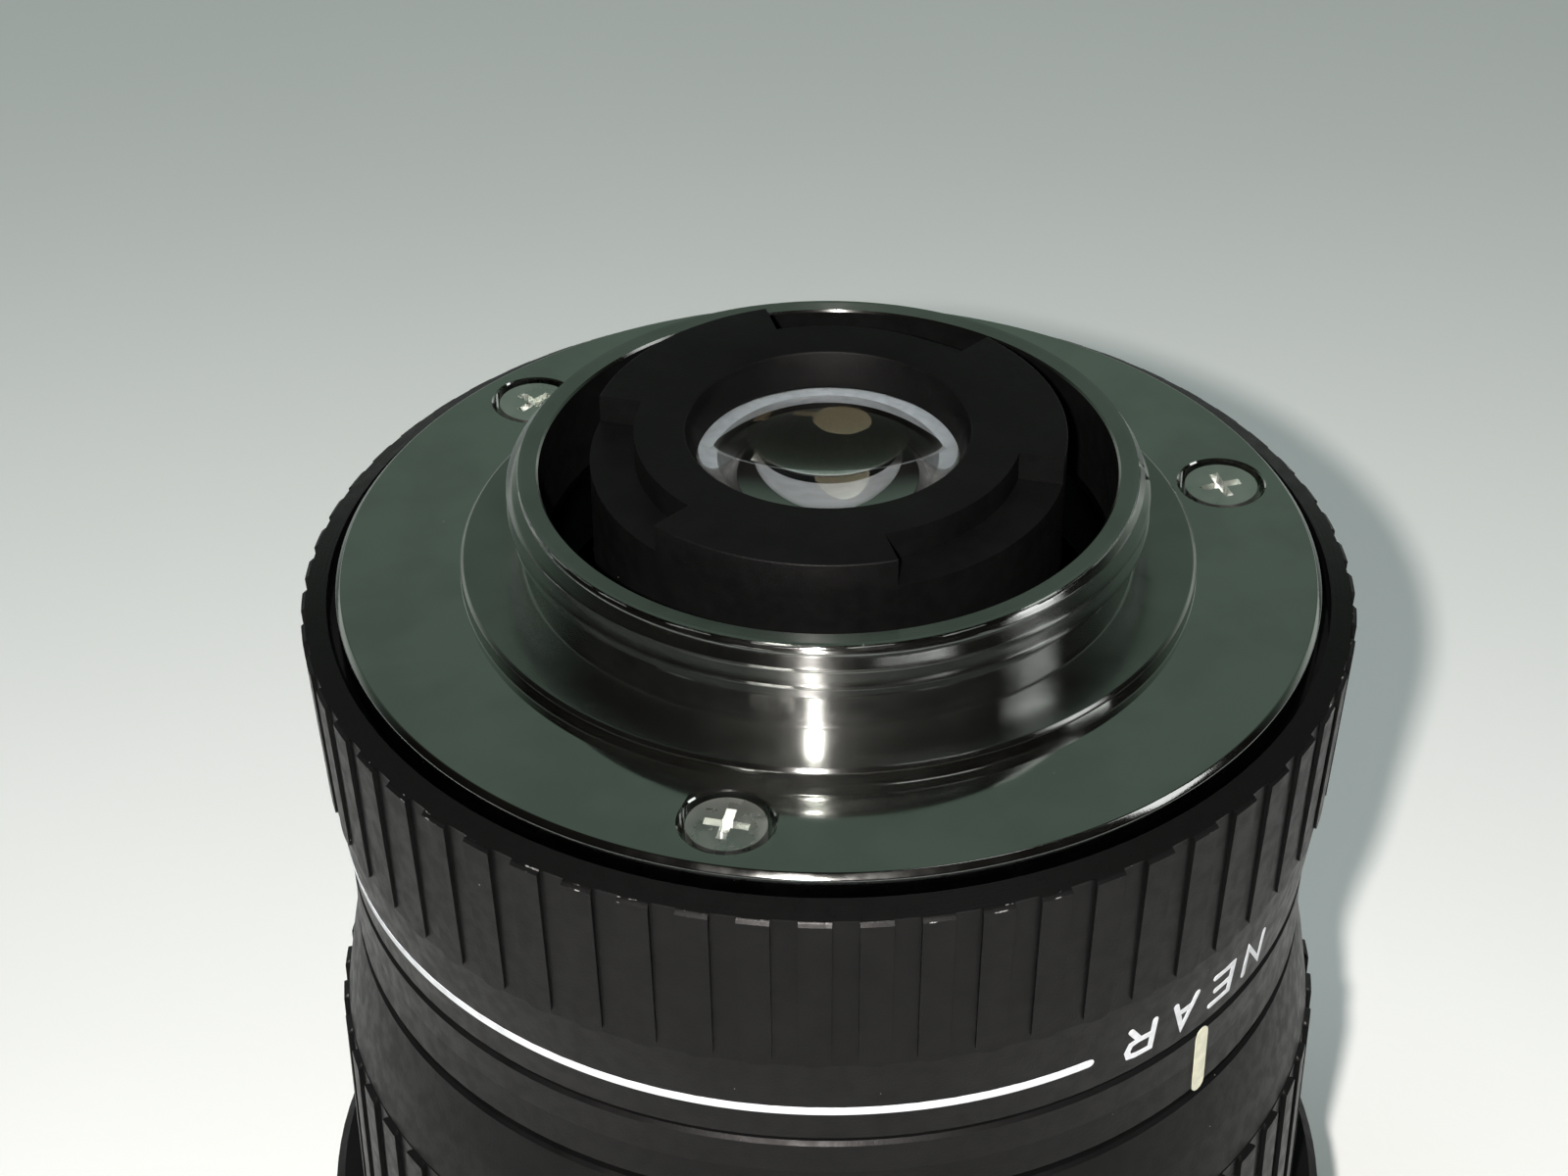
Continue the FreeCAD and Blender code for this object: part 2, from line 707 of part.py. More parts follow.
def build_focus_ring():
    """Ribbed focus ring; three left-hand helical grooves in its bore carry the guide pins."""
    body = new_body("focus_ring", size.focus_rib_azimuth)
    plate_bore = plate_radius + size.focus_ring_gap
    flange_bore = flange_radius + size.turning_gap
    bore = journal_radius + size.turning_gap
    step = plate_seat - size.focus_flange_gap
    turned(body, "focus_ring", [
        (bore, focus_foot),
        (waist_radius - size.edge_break, focus_foot),
        (waist_radius, focus_foot + size.edge_break),
        (focus_band_radius, focus_rib_foot),
        (focus_crest_foot, focus_rib_foot),
        (focus_crest, focus_rib_head - size.edge_break),
        (focus_crest - size.edge_break, focus_rib_head),
        (plate_bore, focus_head),
        (plate_bore, step),
        (flange_bore, step),
        (flange_bore, flange_foot - size.focus_flange_gap),
        (bore, flange_foot - size.focus_flange_gap),
    ])
    rib_grooves(body, "focus_grooves", focus_band_radius + size.rib_floor_rise, focus_rib_foot,
                focus_crest - size.focus_rib_proud, focus_rib_head)
    lead = size.focus_travel / size.focus_turn
    half = size.guide_pin_radius + size.guide_gap
    overrun = half / journal_radius * Size(math.degrees(1), "180 / pi") + size.guide_overrun
    start = guide_height - lead * overrun
    section = new_sketch(body, "guide_groove_section", "XZ_Plane",
                         guide_azimuth - size.focus_rib_azimuth + overrun)
    inside = bore - size.guide_gap * 2
    floor = bore + size.guide_groove_depth
    draw_outline(section, [
        (inside, start - half),
        (floor, start - half),
        (floor, start + half),
        (inside, start + half),
    ])
    helix = feature(body, "SubtractiveHelix", "guide_groove", section)
    helix.ReferenceAxis = (section, ["V_Axis"])
    helix.Mode = "pitch-height-angle"
    helix.setExpression("Pitch", (lead * FULL_TURN).formula)
    helix.setExpression("Height", (size.focus_travel + lead * overrun * 2).formula)
    helix.LeftHanded = True
    body.Tip = helix
    repeated(body, "guide_grooves", [helix], size.guide_count)
    return body


def build_iris_ring():
    """Iris ring: a flared neck above ribs, an inner hub that runs against the index ring."""
    body = new_body("iris_ring", size.iris_rib_azimuth)
    bore = front_journal_radius + size.turning_gap
    hub = bore + size.iris_hub_wall
    hub_rise = size.iris_parting - size.iris_hub_gap
    turned(body, "iris_ring", [
        (bore, iris_foot - hub_rise),
        (hub, iris_foot - hub_rise),
        (hub, iris_foot),
        (iris_crest - size.iris_foot_taper, iris_foot),
        (iris_crest, iris_rib_foot),
        (iris_crest, iris_rib_head),
        (iris_flare_radius, iris_rib_head + size.iris_rib_rise),
        (iris_flare_radius - size.iris_flare_bow, iris_rib_head + size.iris_neck_height / 2),
        (waist_radius, iris_head - size.edge_break),
        (waist_radius - size.edge_break, iris_head),
        (hub, iris_head),
        (hub, iris_head + hub_rise),
        (bore, iris_head + hub_rise),
    ])
    groove_floor = iris_flare_radius + size.rib_floor_rise
    rib_grooves(body, "iris_grooves", groove_floor, iris_rib_head + size.iris_rib_rise,
                groove_floor, iris_foot)
    hole = new_sketch(body, "drive_hole_circle", "YZ_Plane",
                      azimuth=size.drive_azimuth - size.iris_rib_azimuth)
    draw_circle(hole, ZERO, drive_height, size.drive_pin_radius)
    cut_along(body, "drive_hole", hole, bore + size.drive_pin_seat, True)
    return body


def build_iris_drive_pin():
    """The screw pin that carries the iris ring's turn through the barrel's slot to the cam plate."""
    body = new_body("iris_drive_pin", size.drive_azimuth)
    tip = front_bore - size.cam_outer_gap - size.drive_pin_reach
    head = front_journal_radius + size.turning_gap + size.drive_pin_seat
    section = new_sketch(body, "pin_circle", "YZ_Plane", offset=tip)
    draw_circle(section, ZERO, drive_height, size.drive_pin_radius)
    pin = feature(body, "Pad", "pin", section)
    pin.setExpression("Length", (head - tip).formula)
    return body


def build_iris_base():
    """Fixed iris plate against the barrel's shoulder, with a rim and a pivot hole for each blade."""
    body = new_body("iris_base")
    outside = front_bore - size.seat_gap
    turned(body, "iris_base", [
        (iris_opening, base_foot),
        (outside - size.base_rim_width, base_foot),
        (outside - size.base_rim_width, base_foot - blade_stack),
        (outside, base_foot - blade_stack),
        (outside, iris_seat),
        (iris_opening, iris_seat),
    ])
    hole = new_sketch(body, "pivot_hole_circle", "XY_Plane", offset=base_foot)
    draw_circle(hole, pivot_circle, ZERO, size.blade_pin_radius + size.pivot_hole_gap)
    cut = cut_along(body, "pivot_hole", hole, size.base_thickness, True)
    repeated(body, "pivot_holes", [cut], size.blade_count)
    return body


def drive_pin_place(blade_angle):
    """Radius and azimuth of a blade's drive pin once the blade has swung in by an angle (degrees)."""
    swing = math.radians(blade_angle)
    across = pivot_circle.number + size.pivot_arm.number * math.sin(swing)
    along = -size.pivot_arm.number * math.cos(swing)
    return math.hypot(across, along), math.atan2(along, across)


def cam_slot():
    """One slot of the cam plate: the path on the plate that swings a blade evenly with the ring."""
    steps = 8
    half = size.blade_pin_radius.number + size.cam_slot_gap.number
    path = []
    for step in range(steps + 1):
        share = step / steps
        radius, azimuth = drive_pin_place(share * size.blade_turn.number)
        azimuth += math.radians(share * size.iris_turn.number)
        path.append(Vector(radius * math.cos(azimuth), radius * math.sin(azimuth), 0))
    middle = Part.BSplineCurve()
    middle.interpolate(path)
    sides = {}
    for side in (-1, 1):
        points = []
        for step in range(steps + 1):
            at = middle.FirstParameter + (middle.LastParameter - middle.FirstParameter) * step / steps
            tangent = middle.tangent(at)[0]
            normal = Vector(-tangent.y, tangent.x, 0)
            points.append(middle.value(at) + normal * half * side)
        curve = Part.BSplineCurve()
        curve.interpolate(points)
        sides[side] = (points, curve)
    start_tip = path[0] - middle.tangent(middle.FirstParameter)[0] * half
    end_tip = path[-1] + middle.tangent(middle.LastParameter)[0] * half
    start_arc = Part.Arc(sides[-1][0][0], start_tip, sides[1][0][0])
    end_arc = Part.Arc(sides[1][0][-1], end_tip, sides[-1][0][-1])
    edges = [sides[-1][1], end_arc, sides[1][1], start_arc]
    wire = Part.Wire(Part.__sortEdges__([edge.toShape() for edge in edges]))
    face = Part.Face(wire)
    face.translate(Vector(0, 0, cam_foot.number - half))
    return face.extrude(Vector(0, 0, size.cam_thickness.number + 2 * half))


def build_iris_cam_plate():
    """The turning plate under the blades, with a cam slot for each blade's drive pin."""
    blank = new_body("iris_cam_blank", size.drive_azimuth)
    outside = front_bore - size.cam_outer_gap
    turned(blank, "iris_cam_blank", [
        (outside - size.cam_inner_width, cam_foot),
        (outside, cam_foot),
        (outside, cam_head),
        (outside - size.cam_inner_width, cam_head),
    ])
    hole = new_sketch(blank, "cam_hole_circle", "YZ_Plane", offset=outside - size.drive_pin_reach)
    draw_circle(hole, ZERO, drive_height, size.drive_pin_radius)
    cut_along(blank, "cam_hole", hole, size.drive_pin_reach * 2, True)
    slot = cam_slot()
    slots = doc.addObject("Part::Feature", "iris_cam_slots")
    copies = []
    for index in range(int(size.blade_count.number)):
        copy = slot.copy()
        copy.rotate(Vector(), Vector(0, 0, 1), index * FULL_TURN / size.blade_count.number)
        copies.append(copy)
    slots.Shape = Part.makeCompound(copies)
    plate = doc.addObject("Part::Cut", "iris_cam_plate")
    plate.Base = blank
    plate.Tool = slots
    plate.Label = "iris_cam_plate"
    return plate


def build_iris_blade(index):
    """One blade: a curved leaf at its own level, a pivot pin up into the base, a drive pin down."""
    name = f"iris_blade_{index + 1}"
    level = base_foot - size.iris_level_gap - size.blade_pitch * index - size.blade_thickness
    outer = cylinder(f"{name}_outer", blade_outer_radius, size.blade_thickness, level,
                     angle=size.blade_span)
    inner = cylinder(f"{name}_inner", iris_opening, size.blade_thickness, level)
    leaf = doc.addObject("Part::Cut", f"{name}_leaf")
    leaf.Base = outer
    leaf.Tool = inner
    middle_radius = iris_opening + size.blade_width / 2
    heel = cylinder(f"{name}_heel", size.blade_width / 2, size.blade_thickness, level, middle_radius)
    toe = cylinder(f"{name}_toe", size.blade_width / 2, size.blade_thickness, level, middle_radius)
    toe.Placement = Placement(Vector(), Rotation(Vector(0, 0, 1), size.blade_span.number))
    span = f"{size.blade_span.formula}"
    toe.setExpression("Placement.Base.x", f"{middle_radius.formula} * cos({span} * 1 deg)")
    toe.setExpression("Placement.Base.y", f"{middle_radius.formula} * sin({span} * 1 deg)")
    lug = cylinder(f"{name}_lug", size.pivot_lug_radius, size.blade_thickness, level, pivot_circle)
    ear = cylinder(f"{name}_ear", size.pivot_lug_radius, size.blade_thickness, level, pivot_circle)
    ear.setExpression("Placement.Base.y", (-size.pivot_arm).formula)
    arm = doc.addObject("Part::Box", f"{name}_arm")
    arm.setExpression("Length", (size.pivot_lug_radius * 2).formula)
    arm.setExpression("Width", size.pivot_arm.formula)
    arm.setExpression("Height", size.blade_thickness.formula)
    arm.setExpression("Placement.Base.x", (pivot_circle - size.pivot_lug_radius).formula)
    arm.setExpression("Placement.Base.y", (-size.pivot_arm).formula)
    arm.setExpression("Placement.Base.z", level.formula)
    neck = doc.addObject("Part::Box", f"{name}_neck")
    neck.setExpression("Length", (pivot_circle - middle_radius).formula)
    neck.setExpression("Width", (size.pivot_lug_radius * 2).formula)
    neck.setExpression("Height", size.blade_thickness.formula)
    neck.setExpression("Placement.Base.x", middle_radius.formula)
    neck.setExpression("Placement.Base.y", (-size.pivot_lug_radius).formula)
    neck.setExpression("Placement.Base.z", level.formula)
    pivot = cylinder(f"{name}_pivot", size.blade_pin_radius, iris_seat - size.seat_gap - level, level,
                     pivot_circle)
    drive_foot = cam_foot + size.seat_gap
    drive = cylinder(f"{name}_drive", size.blade_pin_radius, level + size.blade_thickness - drive_foot,
                     drive_foot, pivot_circle)
    drive.setExpression("Placement.Base.y", (-size.pivot_arm).formula)
    blade = doc.addObject("Part::MultiFuse", name)
    blade.Shapes = [leaf, heel, toe, lug, ear, arm, neck, pivot, drive]
    blade.Label = name
    blade.Placement = Placement(Vector(), Rotation(Vector(0, 0, 1), 1))
    blade.setExpression("Placement.Rotation.Angle", f"{index} * 360 deg / {size.blade_count.formula}")
    return blade


def build_iris_retainer():
    """Threaded ring that keeps the cam plate under the blades; two spanner slots face the front."""
    body = new_body("iris_retainer")
    outside = front_bore - size.seat_gap
    turned(body, "iris_retainer", [
        (outside - size.iris_retainer_width, iris_retainer_foot),
        (outside, iris_retainer_foot),
        (outside, iris_retainer_head),
        (outside - size.iris_retainer_width, iris_retainer_head),
    ])
    return body


def build_front_barrel():
    """Wide front barrel: filter thread mouth, stepped baffle, glass seat, and a socket for the tube."""
    body = new_body("front_barrel")
    socket = front_journal_radius + size.seat_gap
    glass_bore = front_glass_radius + size.glass_gap
    retainer_bore = glass_bore + size.front_retainer_outset
    turned(body, "front_barrel", [
        (size.filter_radius, size.filter_mouth),
        (size.filter_radius + size.filter_mouth, ZERO),
        (front_radius - size.front_edge_break, ZERO),
        (front_radius, size.front_edge_break),
        (front_radius, size.front_length - size.front_rear_break),
        (front_radius - size.front_rear_break, size.front_length),
        (socket, size.front_length),
        (socket, barrel_foot),
        (front_seat_bore, barrel_foot),
        (front_seat_bore, front_seat),
        (glass_bore, front_seat),
        (glass_bore, front_retainer_head),
        (retainer_bore, front_retainer_head),
        (retainer_bore, front_retainer_foot),
        (size.filter_radius - size.baffle_step, size.filter_depth),
        (size.filter_radius, size.filter_depth),
    ])
    return body


def build_front_glass():
    return lens("front_glass", front_glass_radius, front_glass_front, front_glass_rear,
                size.front_glass_front_curve, size.front_glass_rear_curve)


def build_front_retainer():
    """Threaded ring that holds the front glass, with two slots for a spanner in its front face."""
    body = new_body("front_retainer")
    outside = front_glass_radius + size.glass_gap + size.front_retainer_outset - size.seat_gap
    turned(body, "front_retainer", [
        (front_retainer_bore, front_retainer_foot),
        (outside, front_retainer_foot),
        (outside, front_retainer_head),
        (front_retainer_bore, front_retainer_head),
    ])
    half = size.spanner_slot_width / 2
    slot = new_sketch(body, "spanner_slot_outline", "XY_Plane", offset=front_retainer_foot)
    draw_outline(slot, [
        (front_retainer_bore - half, -half),
        (outside - half, -half),
        (outside - half, half),
        (front_retainer_bore - half, half),
    ])
    cut = cut_along(body, "spanner_slot", slot, size.spanner_slot_depth, True)
    repeated(body, "spanner_slots", [cut], size.spanner_slot_count)
    return body


def build_front_cell():
    """Inner cell between the iris and the front barrel; it carries the second glass."""
    body = new_body("front_cell")
    turned(body, "front_cell", [
        (second_bore, front_cell_foot),
        (front_cell_radius, front_cell_foot),
        (front_cell_radius, front_cell_head),
        (front_cell_radius - size.iris_retainer_width, front_cell_head),
        (second_aperture, second_seat + size.doublet_seat_land),
        (second_aperture, second_seat),
        (second_bore, second_seat),
    ])
    return body


def build_second_glass():
    return lens("second_glass", second_glass_radius, second_glass_front, second_glass_rear,
                size.second_glass_front_curve, size.second_glass_rear_curve)


def build_cell_retainer():
    """Threaded ring that holds the second glass in its cell."""
    body = new_body("cell_retainer")
    turned(body, "cell_retainer", [
        (cell_retainer_bore, cell_retainer_head - size.cell_retainer_height),
        (second_bore - size.seat_gap, cell_retainer_head - size.cell_retainer_height),
        (second_bore - size.seat_gap, cell_retainer_head),
        (cell_retainer_bore, cell_retainer_head),
    ])
    return body


def build_focus_carriage():
    """The sliding tube of the rear group: a guide flange for the pins and a neck for the glass."""
    body = new_body("focus_carriage", guide_azimuth)
    neck_head = holder_lip - size.cell_drop
    turned(body, "focus_carriage", [
        (carriage_radius - size.carriage_front_wall, carriage_foot),
        (carriage_radius, carriage_foot),
        (carriage_radius, carriage_head),
        (cell_radius, carriage_head),
        (cell_radius, neck_head),
        (cell_bore, neck_head),
        (cell_bore, doublet_seat),
        (doublet_aperture, doublet_seat),
        (doublet_aperture, doublet_seat - size.doublet_seat_land),
    ])
    hole = new_sketch(body, "pin_hole_circle", "YZ_Plane",
                      offset=carriage_radius - size.guide_pin_seat)
    draw_circle(hole, ZERO, guide_height, size.guide_pin_radius)
    cut = cut_along(body, "pin_hole", hole, size.guide_pin_seat * 2, True)
    repeated(body, "pin_holes", [cut], size.guide_count)
    return body


def build_guide_pins():
    """Three pins: in the carriage, through the barrel's straight slots, into the helical grooves."""
    body = new_body("guide_pins", guide_azimuth)
    body.AllowCompound = True
    seat = carriage_radius - size.guide_pin_seat
    tip = journal_radius + size.turning_gap + size.guide_groove_depth - size.guide_gap
    section = new_sketch(body, "guide_pin_circle", "YZ_Plane", offset=seat)
    draw_circle(section, ZERO, guide_height, size.guide_pin_radius)
    pin = feature(body, "Pad", "guide_pin", section)
    pin.setExpression("Length", (tip - seat).formula)
    repeated(body, "guide_pins_round", [pin], size.guide_count)
    return body


def build_rear_holder():
    """The black cap of the rear group: a funnel round the glass and three wide wrench notches."""
    body = new_body("rear_holder", size.notch_azimuth)
    skirt_bore = cell_radius + size.skirt_gap
    holder_foot = holder_head - size.holder_height
    turned(body, "rear_holder", [
        (skirt_bore, holder_foot),
        (holder_radius, holder_foot),
        (holder_radius, holder_head - size.holder_break),
        (holder_radius - size.holder_break, holder_head),
        (size.holder_opening_radius, holder_head),
        (size.holder_aperture_radius, holder_lip + size.holder_aperture_land),
        (size.holder_aperture_radius, holder_lip),
        (skirt_bore, holder_lip),
    ])
    floor = holder_head - size.notch_depth
    notch = turned_cut(body, "notch", [
        (holder_radius - size.notch_width, floor),
        (holder_radius + size.notch_depth, floor),
        (holder_radius + size.notch_depth, holder_head + size.notch_depth),
        (holder_radius - size.notch_width, holder_head + size.notch_depth),
    ], size.notch_angle)
    repeated(body, "notches", [notch], size.notch_count)
    return body


def build_rear_glass():
    return lens("rear_glass", rear_glass_radius, rear_glass_front, rear_glass_rear,
                size.rear_glass_front_curve, size.rear_glass_rear_curve)


def build_rear_spacer():
    """Plain ring that keeps the rear glass off the cemented pair."""
    body = new_body("rear_spacer")
    foot = flint_rear - sag(size.flint_rear_curve, spacer_bore) + size.glass_gap
    head = rear_glass_front + sag(size.rear_glass_front_curve, spacer_bore) - size.glass_gap
    outside = cell_bore - size.seat_gap
    turned(body, "rear_spacer", [
        (spacer_bore, foot),
        (outside, foot),
        (outside, head),
        (spacer_bore, head),
    ])
    return body


def build_crown_glass():
    """The rear group's convex element; its rear surface is cemented to the flint."""
    return lens("crown_glass", rear_glass_radius, crown_front, crown_rear,
                size.crown_front_curve, size.cement_curve)


def build_flint_glass():
    """The hollow-fronted element cemented behind the crown."""
    return lens("flint_glass", rear_glass_radius, flint_front, flint_rear,
                size.cement_curve, size.flint_rear_curve, front_hollow=True)


nodes = [
    build_mount_plate(),
    build_mount_screws(),
    build_main_barrel(),
    build_index_ring(),
    build_front_barrel(),
    build_front_glass(),
    build_front_retainer(),
    build_front_cell(),
    build_second_glass(),
    build_cell_retainer(),
    build_iris_base(),
    build_iris_retainer(),
    build_focus_ring(),
    build_focus_carriage(),
    build_guide_pins(),
    build_rear_holder(),
    build_rear_glass(),
    build_rear_spacer(),
    build_crown_glass(),
    build_flint_glass(),
    build_iris_ring(),
    build_iris_drive_pin(),
    build_iris_cam_plate(),
]
nodes += [build_iris_blade(index) for index in range(int(size.blade_count.number))]
doc.recompute()

for item in doc.Objects:
    if "Invalid" in item.State or "Error" in item.State:
        raise RuntimeError(f"{item.Name} did not build: {item.State}")
for node in nodes:
    if node.Shape.isNull() or not node.Shape.isValid() or node.Shape.Volume <= 0:
        raise RuntimeError(f"{node.Label} has no sound solid")

os.makedirs("parts", exist_ok=True)
for node in nodes:
    node.Shape.exportStep(f"parts/{node.Label}.step")
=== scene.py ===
import math

import bmesh
import bpy
from mathutils import Matrix, Vector


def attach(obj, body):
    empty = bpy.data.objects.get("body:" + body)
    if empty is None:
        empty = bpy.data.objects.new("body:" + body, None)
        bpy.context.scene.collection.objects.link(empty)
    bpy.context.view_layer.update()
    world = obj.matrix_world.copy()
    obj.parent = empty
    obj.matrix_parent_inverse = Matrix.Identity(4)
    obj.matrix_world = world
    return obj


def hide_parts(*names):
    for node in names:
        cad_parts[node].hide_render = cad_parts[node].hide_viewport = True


# A security camera lens that stands on its front rim, threaded mount up. Radii and heights of the pieces
# are in millimetres, heights above the front rim, and MM turns them into metres. Lamps are placed in metres.

MM = 0.001
TURN = 2 * math.pi

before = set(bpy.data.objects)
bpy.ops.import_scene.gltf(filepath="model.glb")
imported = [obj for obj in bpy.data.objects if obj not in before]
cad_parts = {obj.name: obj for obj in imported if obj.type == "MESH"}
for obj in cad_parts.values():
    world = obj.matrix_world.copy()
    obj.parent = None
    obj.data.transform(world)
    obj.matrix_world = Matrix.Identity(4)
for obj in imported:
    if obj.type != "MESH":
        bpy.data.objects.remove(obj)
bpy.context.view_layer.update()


# Radii and heights that several parts share

RIM = 52.0
MOUNT_SEAT = 48.2
NECK_RADIUS = 12.2
COLLAR_BORE = 11.41


# Camera: fitted to the photograph, with its focal length in pixels

FOCAL = 3300
IMAGE_WIDTH = 1600
SENSOR_WIDTH = 36
CLIP_START = 5 * MM
PITCH = 0.6250992
ROLL = -0.0072383
EYE = Vector((-1.77, -106.15, RIM + 70.4)) * MM


def place_camera():
    forward = Vector((0, math.cos(PITCH), -math.sin(PITCH)))
    level_up = Vector((0, math.sin(PITCH), math.cos(PITCH)))
    across = Vector((1, 0, 0))
    right = math.cos(ROLL) * across + math.sin(ROLL) * level_up
    up = math.cos(ROLL) * level_up - math.sin(ROLL) * across
    data = bpy.data.cameras.new("camera")
    data.sensor_width = SENSOR_WIDTH
    data.lens = FOCAL / IMAGE_WIDTH * SENSOR_WIDTH
    data.clip_start = CLIP_START
    camera = bpy.data.objects.new("camera", data)
    turn = Matrix((right, up, -forward)).transposed()
    camera.matrix_world = Matrix.Translation(EYE) @ turn.to_4x4()
    bpy.context.scene.collection.objects.link(camera)
    bpy.context.scene.camera = camera


place_camera()


# Finishes: noise scales are per metre, sizes and depths in millimetres

SPECK_COVER = 0.6
SPECK_ROUGHNESS = 0.3
SPECK_HEIGHT = 1.5
CHROME_TINT = (0.97, 1.0, 0.965)
CHROME_SPECK = (0.85, 0.85, 0.82, 1)
ANISOTROPIC_TURN = 0.25
BLACK_TINT = (0.96, 1.0, 1.01)
BLACK_SHEEN = 0.12
DUST = (0.45, 0.46, 0.45, 1)
BARE_METAL = (0.62, 0.63, 0.62, 1)
WEAR_WIDTH = 0.035
WEAR_FADE = 0.12
WEAR_METAL = 0.9
WEAR_POLISH = 0.12
# The lip's blacker colour is painted shade
LIP_PAINTED_SHADE = (0.0035, 0.0036, 0.0036, 1)
LIP_FADE = 0.04
LIP_MARK_HEIGHT = 1.5
LIP_ROUGHNESS_SHARE = 0.72
GLASS_TINT = (0.93, 0.97, 0.95, 1)
GLASS_DUST = (0.6, 0.6, 0.6, 1)
GLASS_INDEX = 1.6
COATING_INDEX = 1.38
COATING_NANOMETRES = 115.0


class Tree:
    """Adds nodes to a node tree and links them."""

    def __init__(self, tree):
        self.tree = tree

    def put(self, socket, value):
        if isinstance(value, bpy.types.NodeSocket):
            self.tree.links.new(value, socket)
        else:
            socket.default_value = value

    def add(self, kind, inputs, **settings):
        node = self.tree.nodes.new(kind)
        for key, value in settings.items():
            setattr(node, key, value)
        for key, value in inputs.items():
            self.put(node.inputs[key], value)
        return node

    def math(self, operation, *values):
        return self.add("ShaderNodeMath", dict(enumerate(values)), operation=operation).outputs[0]

    def mix(self, share, first, second, blend="MIX"):
        """Colour mixed from two colours."""
        inputs = {0: share, 6: first, 7: second}
        return self.add("ShaderNodeMix", inputs, data_type="RGBA", blend_type=blend).outputs[2]

    def ramp(self, value, stops):
        """Colour eased from stop to stop, each a position and a colour."""
        node = self.add("ShaderNodeValToRGB", {0: value})
        node.color_ramp.interpolation = "EASE"
        while len(node.color_ramp.elements) < len(stops):
            node.color_ramp.elements.new(0.5)
        for element, (position, colour) in zip(node.color_ramp.elements, stops):
            element.position = position
            element.color = colour + (1,)
        return node.outputs[0]


class Finish(Tree):
    """The node tree of one material."""

    def __init__(self, name):
        self.material = bpy.data.materials.new(name)
        self.material.use_nodes = True
        super().__init__(self.material.node_tree)
        self.shader = self.tree.nodes["Principled BSDF"]
        self.point = self.add("ShaderNodeTexCoord", {}).outputs["Object"]
        self.spot = None

    def place(self):
        """The point's distance from the optical axis, its azimuth and its height."""
        if self.spot is None:
            x, y, height = self.add("ShaderNodeSeparateXYZ", {0: self.point}).outputs
            squares = [self.math("MULTIPLY", part, part) for part in (x, y)]
            radius = self.math("SQRT", self.math("ADD", *squares))
            self.spot = radius, self.math("ARCTAN2", y, x), height
        return self.spot

    def surface(self, **inputs):
        for key, value in inputs.items():
            self.put(self.shader.inputs[key.replace("_", " ")], value)

    def bump(self, height, depth):
        inputs = {"Height": height, "Distance": depth * MM}
        self.put(self.shader.inputs["Normal"], self.add("ShaderNodeBump", inputs).outputs[0])

    def noise(self, scale, detail=2.0, vector=None):
        inputs = {"Vector": vector or self.point, "Scale": scale, "Detail": detail}
        return self.add("ShaderNodeTexNoise", inputs).outputs[0]

    def between(self, value, low, high, new_low=0.0, new_high=1.0):
        """Value from low to high, eased to new_low to new_high and held outside."""
        inputs = {"Value": value, "From Min": low, "From Max": high, "To Min": new_low, "To Max": new_high}
        return self.add("ShaderNodeMapRange", inputs, interpolation_type="SMOOTHSTEP").outputs[0]

    def cloudy(self, scale, detail, low=0.0, high=1.0, spread=0.2):
        """Soft patches that run from low to high; a smaller spread makes their edges harder."""
        return self.between(self.noise(scale, detail), 0.5 - spread, 0.5 + spread, low, high)

    def turned_marks(self, detail, across, around, along):
        """Noise stretched round the axis; its scales are per metre of radius, radian and metre of height."""
        radius, azimuth, height = self.place()
        parts = ((radius, across), (azimuth, around), (height, along))
        inputs = {index: self.math("MULTIPLY", *part) for index, part in enumerate(parts)}
        return self.noise(1, detail, self.add("ShaderNodeCombineXYZ", inputs).outputs[0])

    def specks(self, spacing, size, share):
        """Scattered round specks: about one in each cell of the given spacing, for a share of the cells."""
        inputs = {"Vector": self.point, "Scale": 1 / (spacing * MM)}
        cells = self.add("ShaderNodeTexVoronoi", inputs)
        near = self.between(cells.outputs["Distance"], size / spacing, 0.5 * size / spacing)
        chance = self.add("ShaderNodeSeparateColor", {0: cells.outputs["Color"]}).outputs[0]
        return self.math("MULTIPLY", near, self.math("GREATER_THAN", chance, 1 - share))

    def worn_edge(self, circles, share):
        """Worn patches along a share of circular edges, each edge given by its radius and height."""
        radius, _, height = self.place()
        worn = None
        for edge_radius, edge_height in circles:
            off_radius = self.math("SUBTRACT", radius, edge_radius * MM)
            off_height = self.math("SUBTRACT", height, edge_height * MM)
            squares = [self.math("MULTIPLY", off, off) for off in (off_radius, off_height)]
            away = self.math("SQRT", self.math("ADD", *squares))
            near = self.between(away, WEAR_WIDTH * MM, 0.3 * WEAR_WIDTH * MM)
            worn = near if worn is None else self.math("MAXIMUM", worn, near)
        patches = self.between(self.noise(scale=1800, detail=4.0), 1 - share, 1 + WEAR_FADE - share)
        return self.math("MULTIPLY", worn, patches)


def shades(tone, spread, tint):
    """A darker and a lighter shade about one tone."""
    return tuple(
        tuple(tone * factor * part for part in tint) + (1.0,) for factor in (1 - spread, 1 + spread)
    )


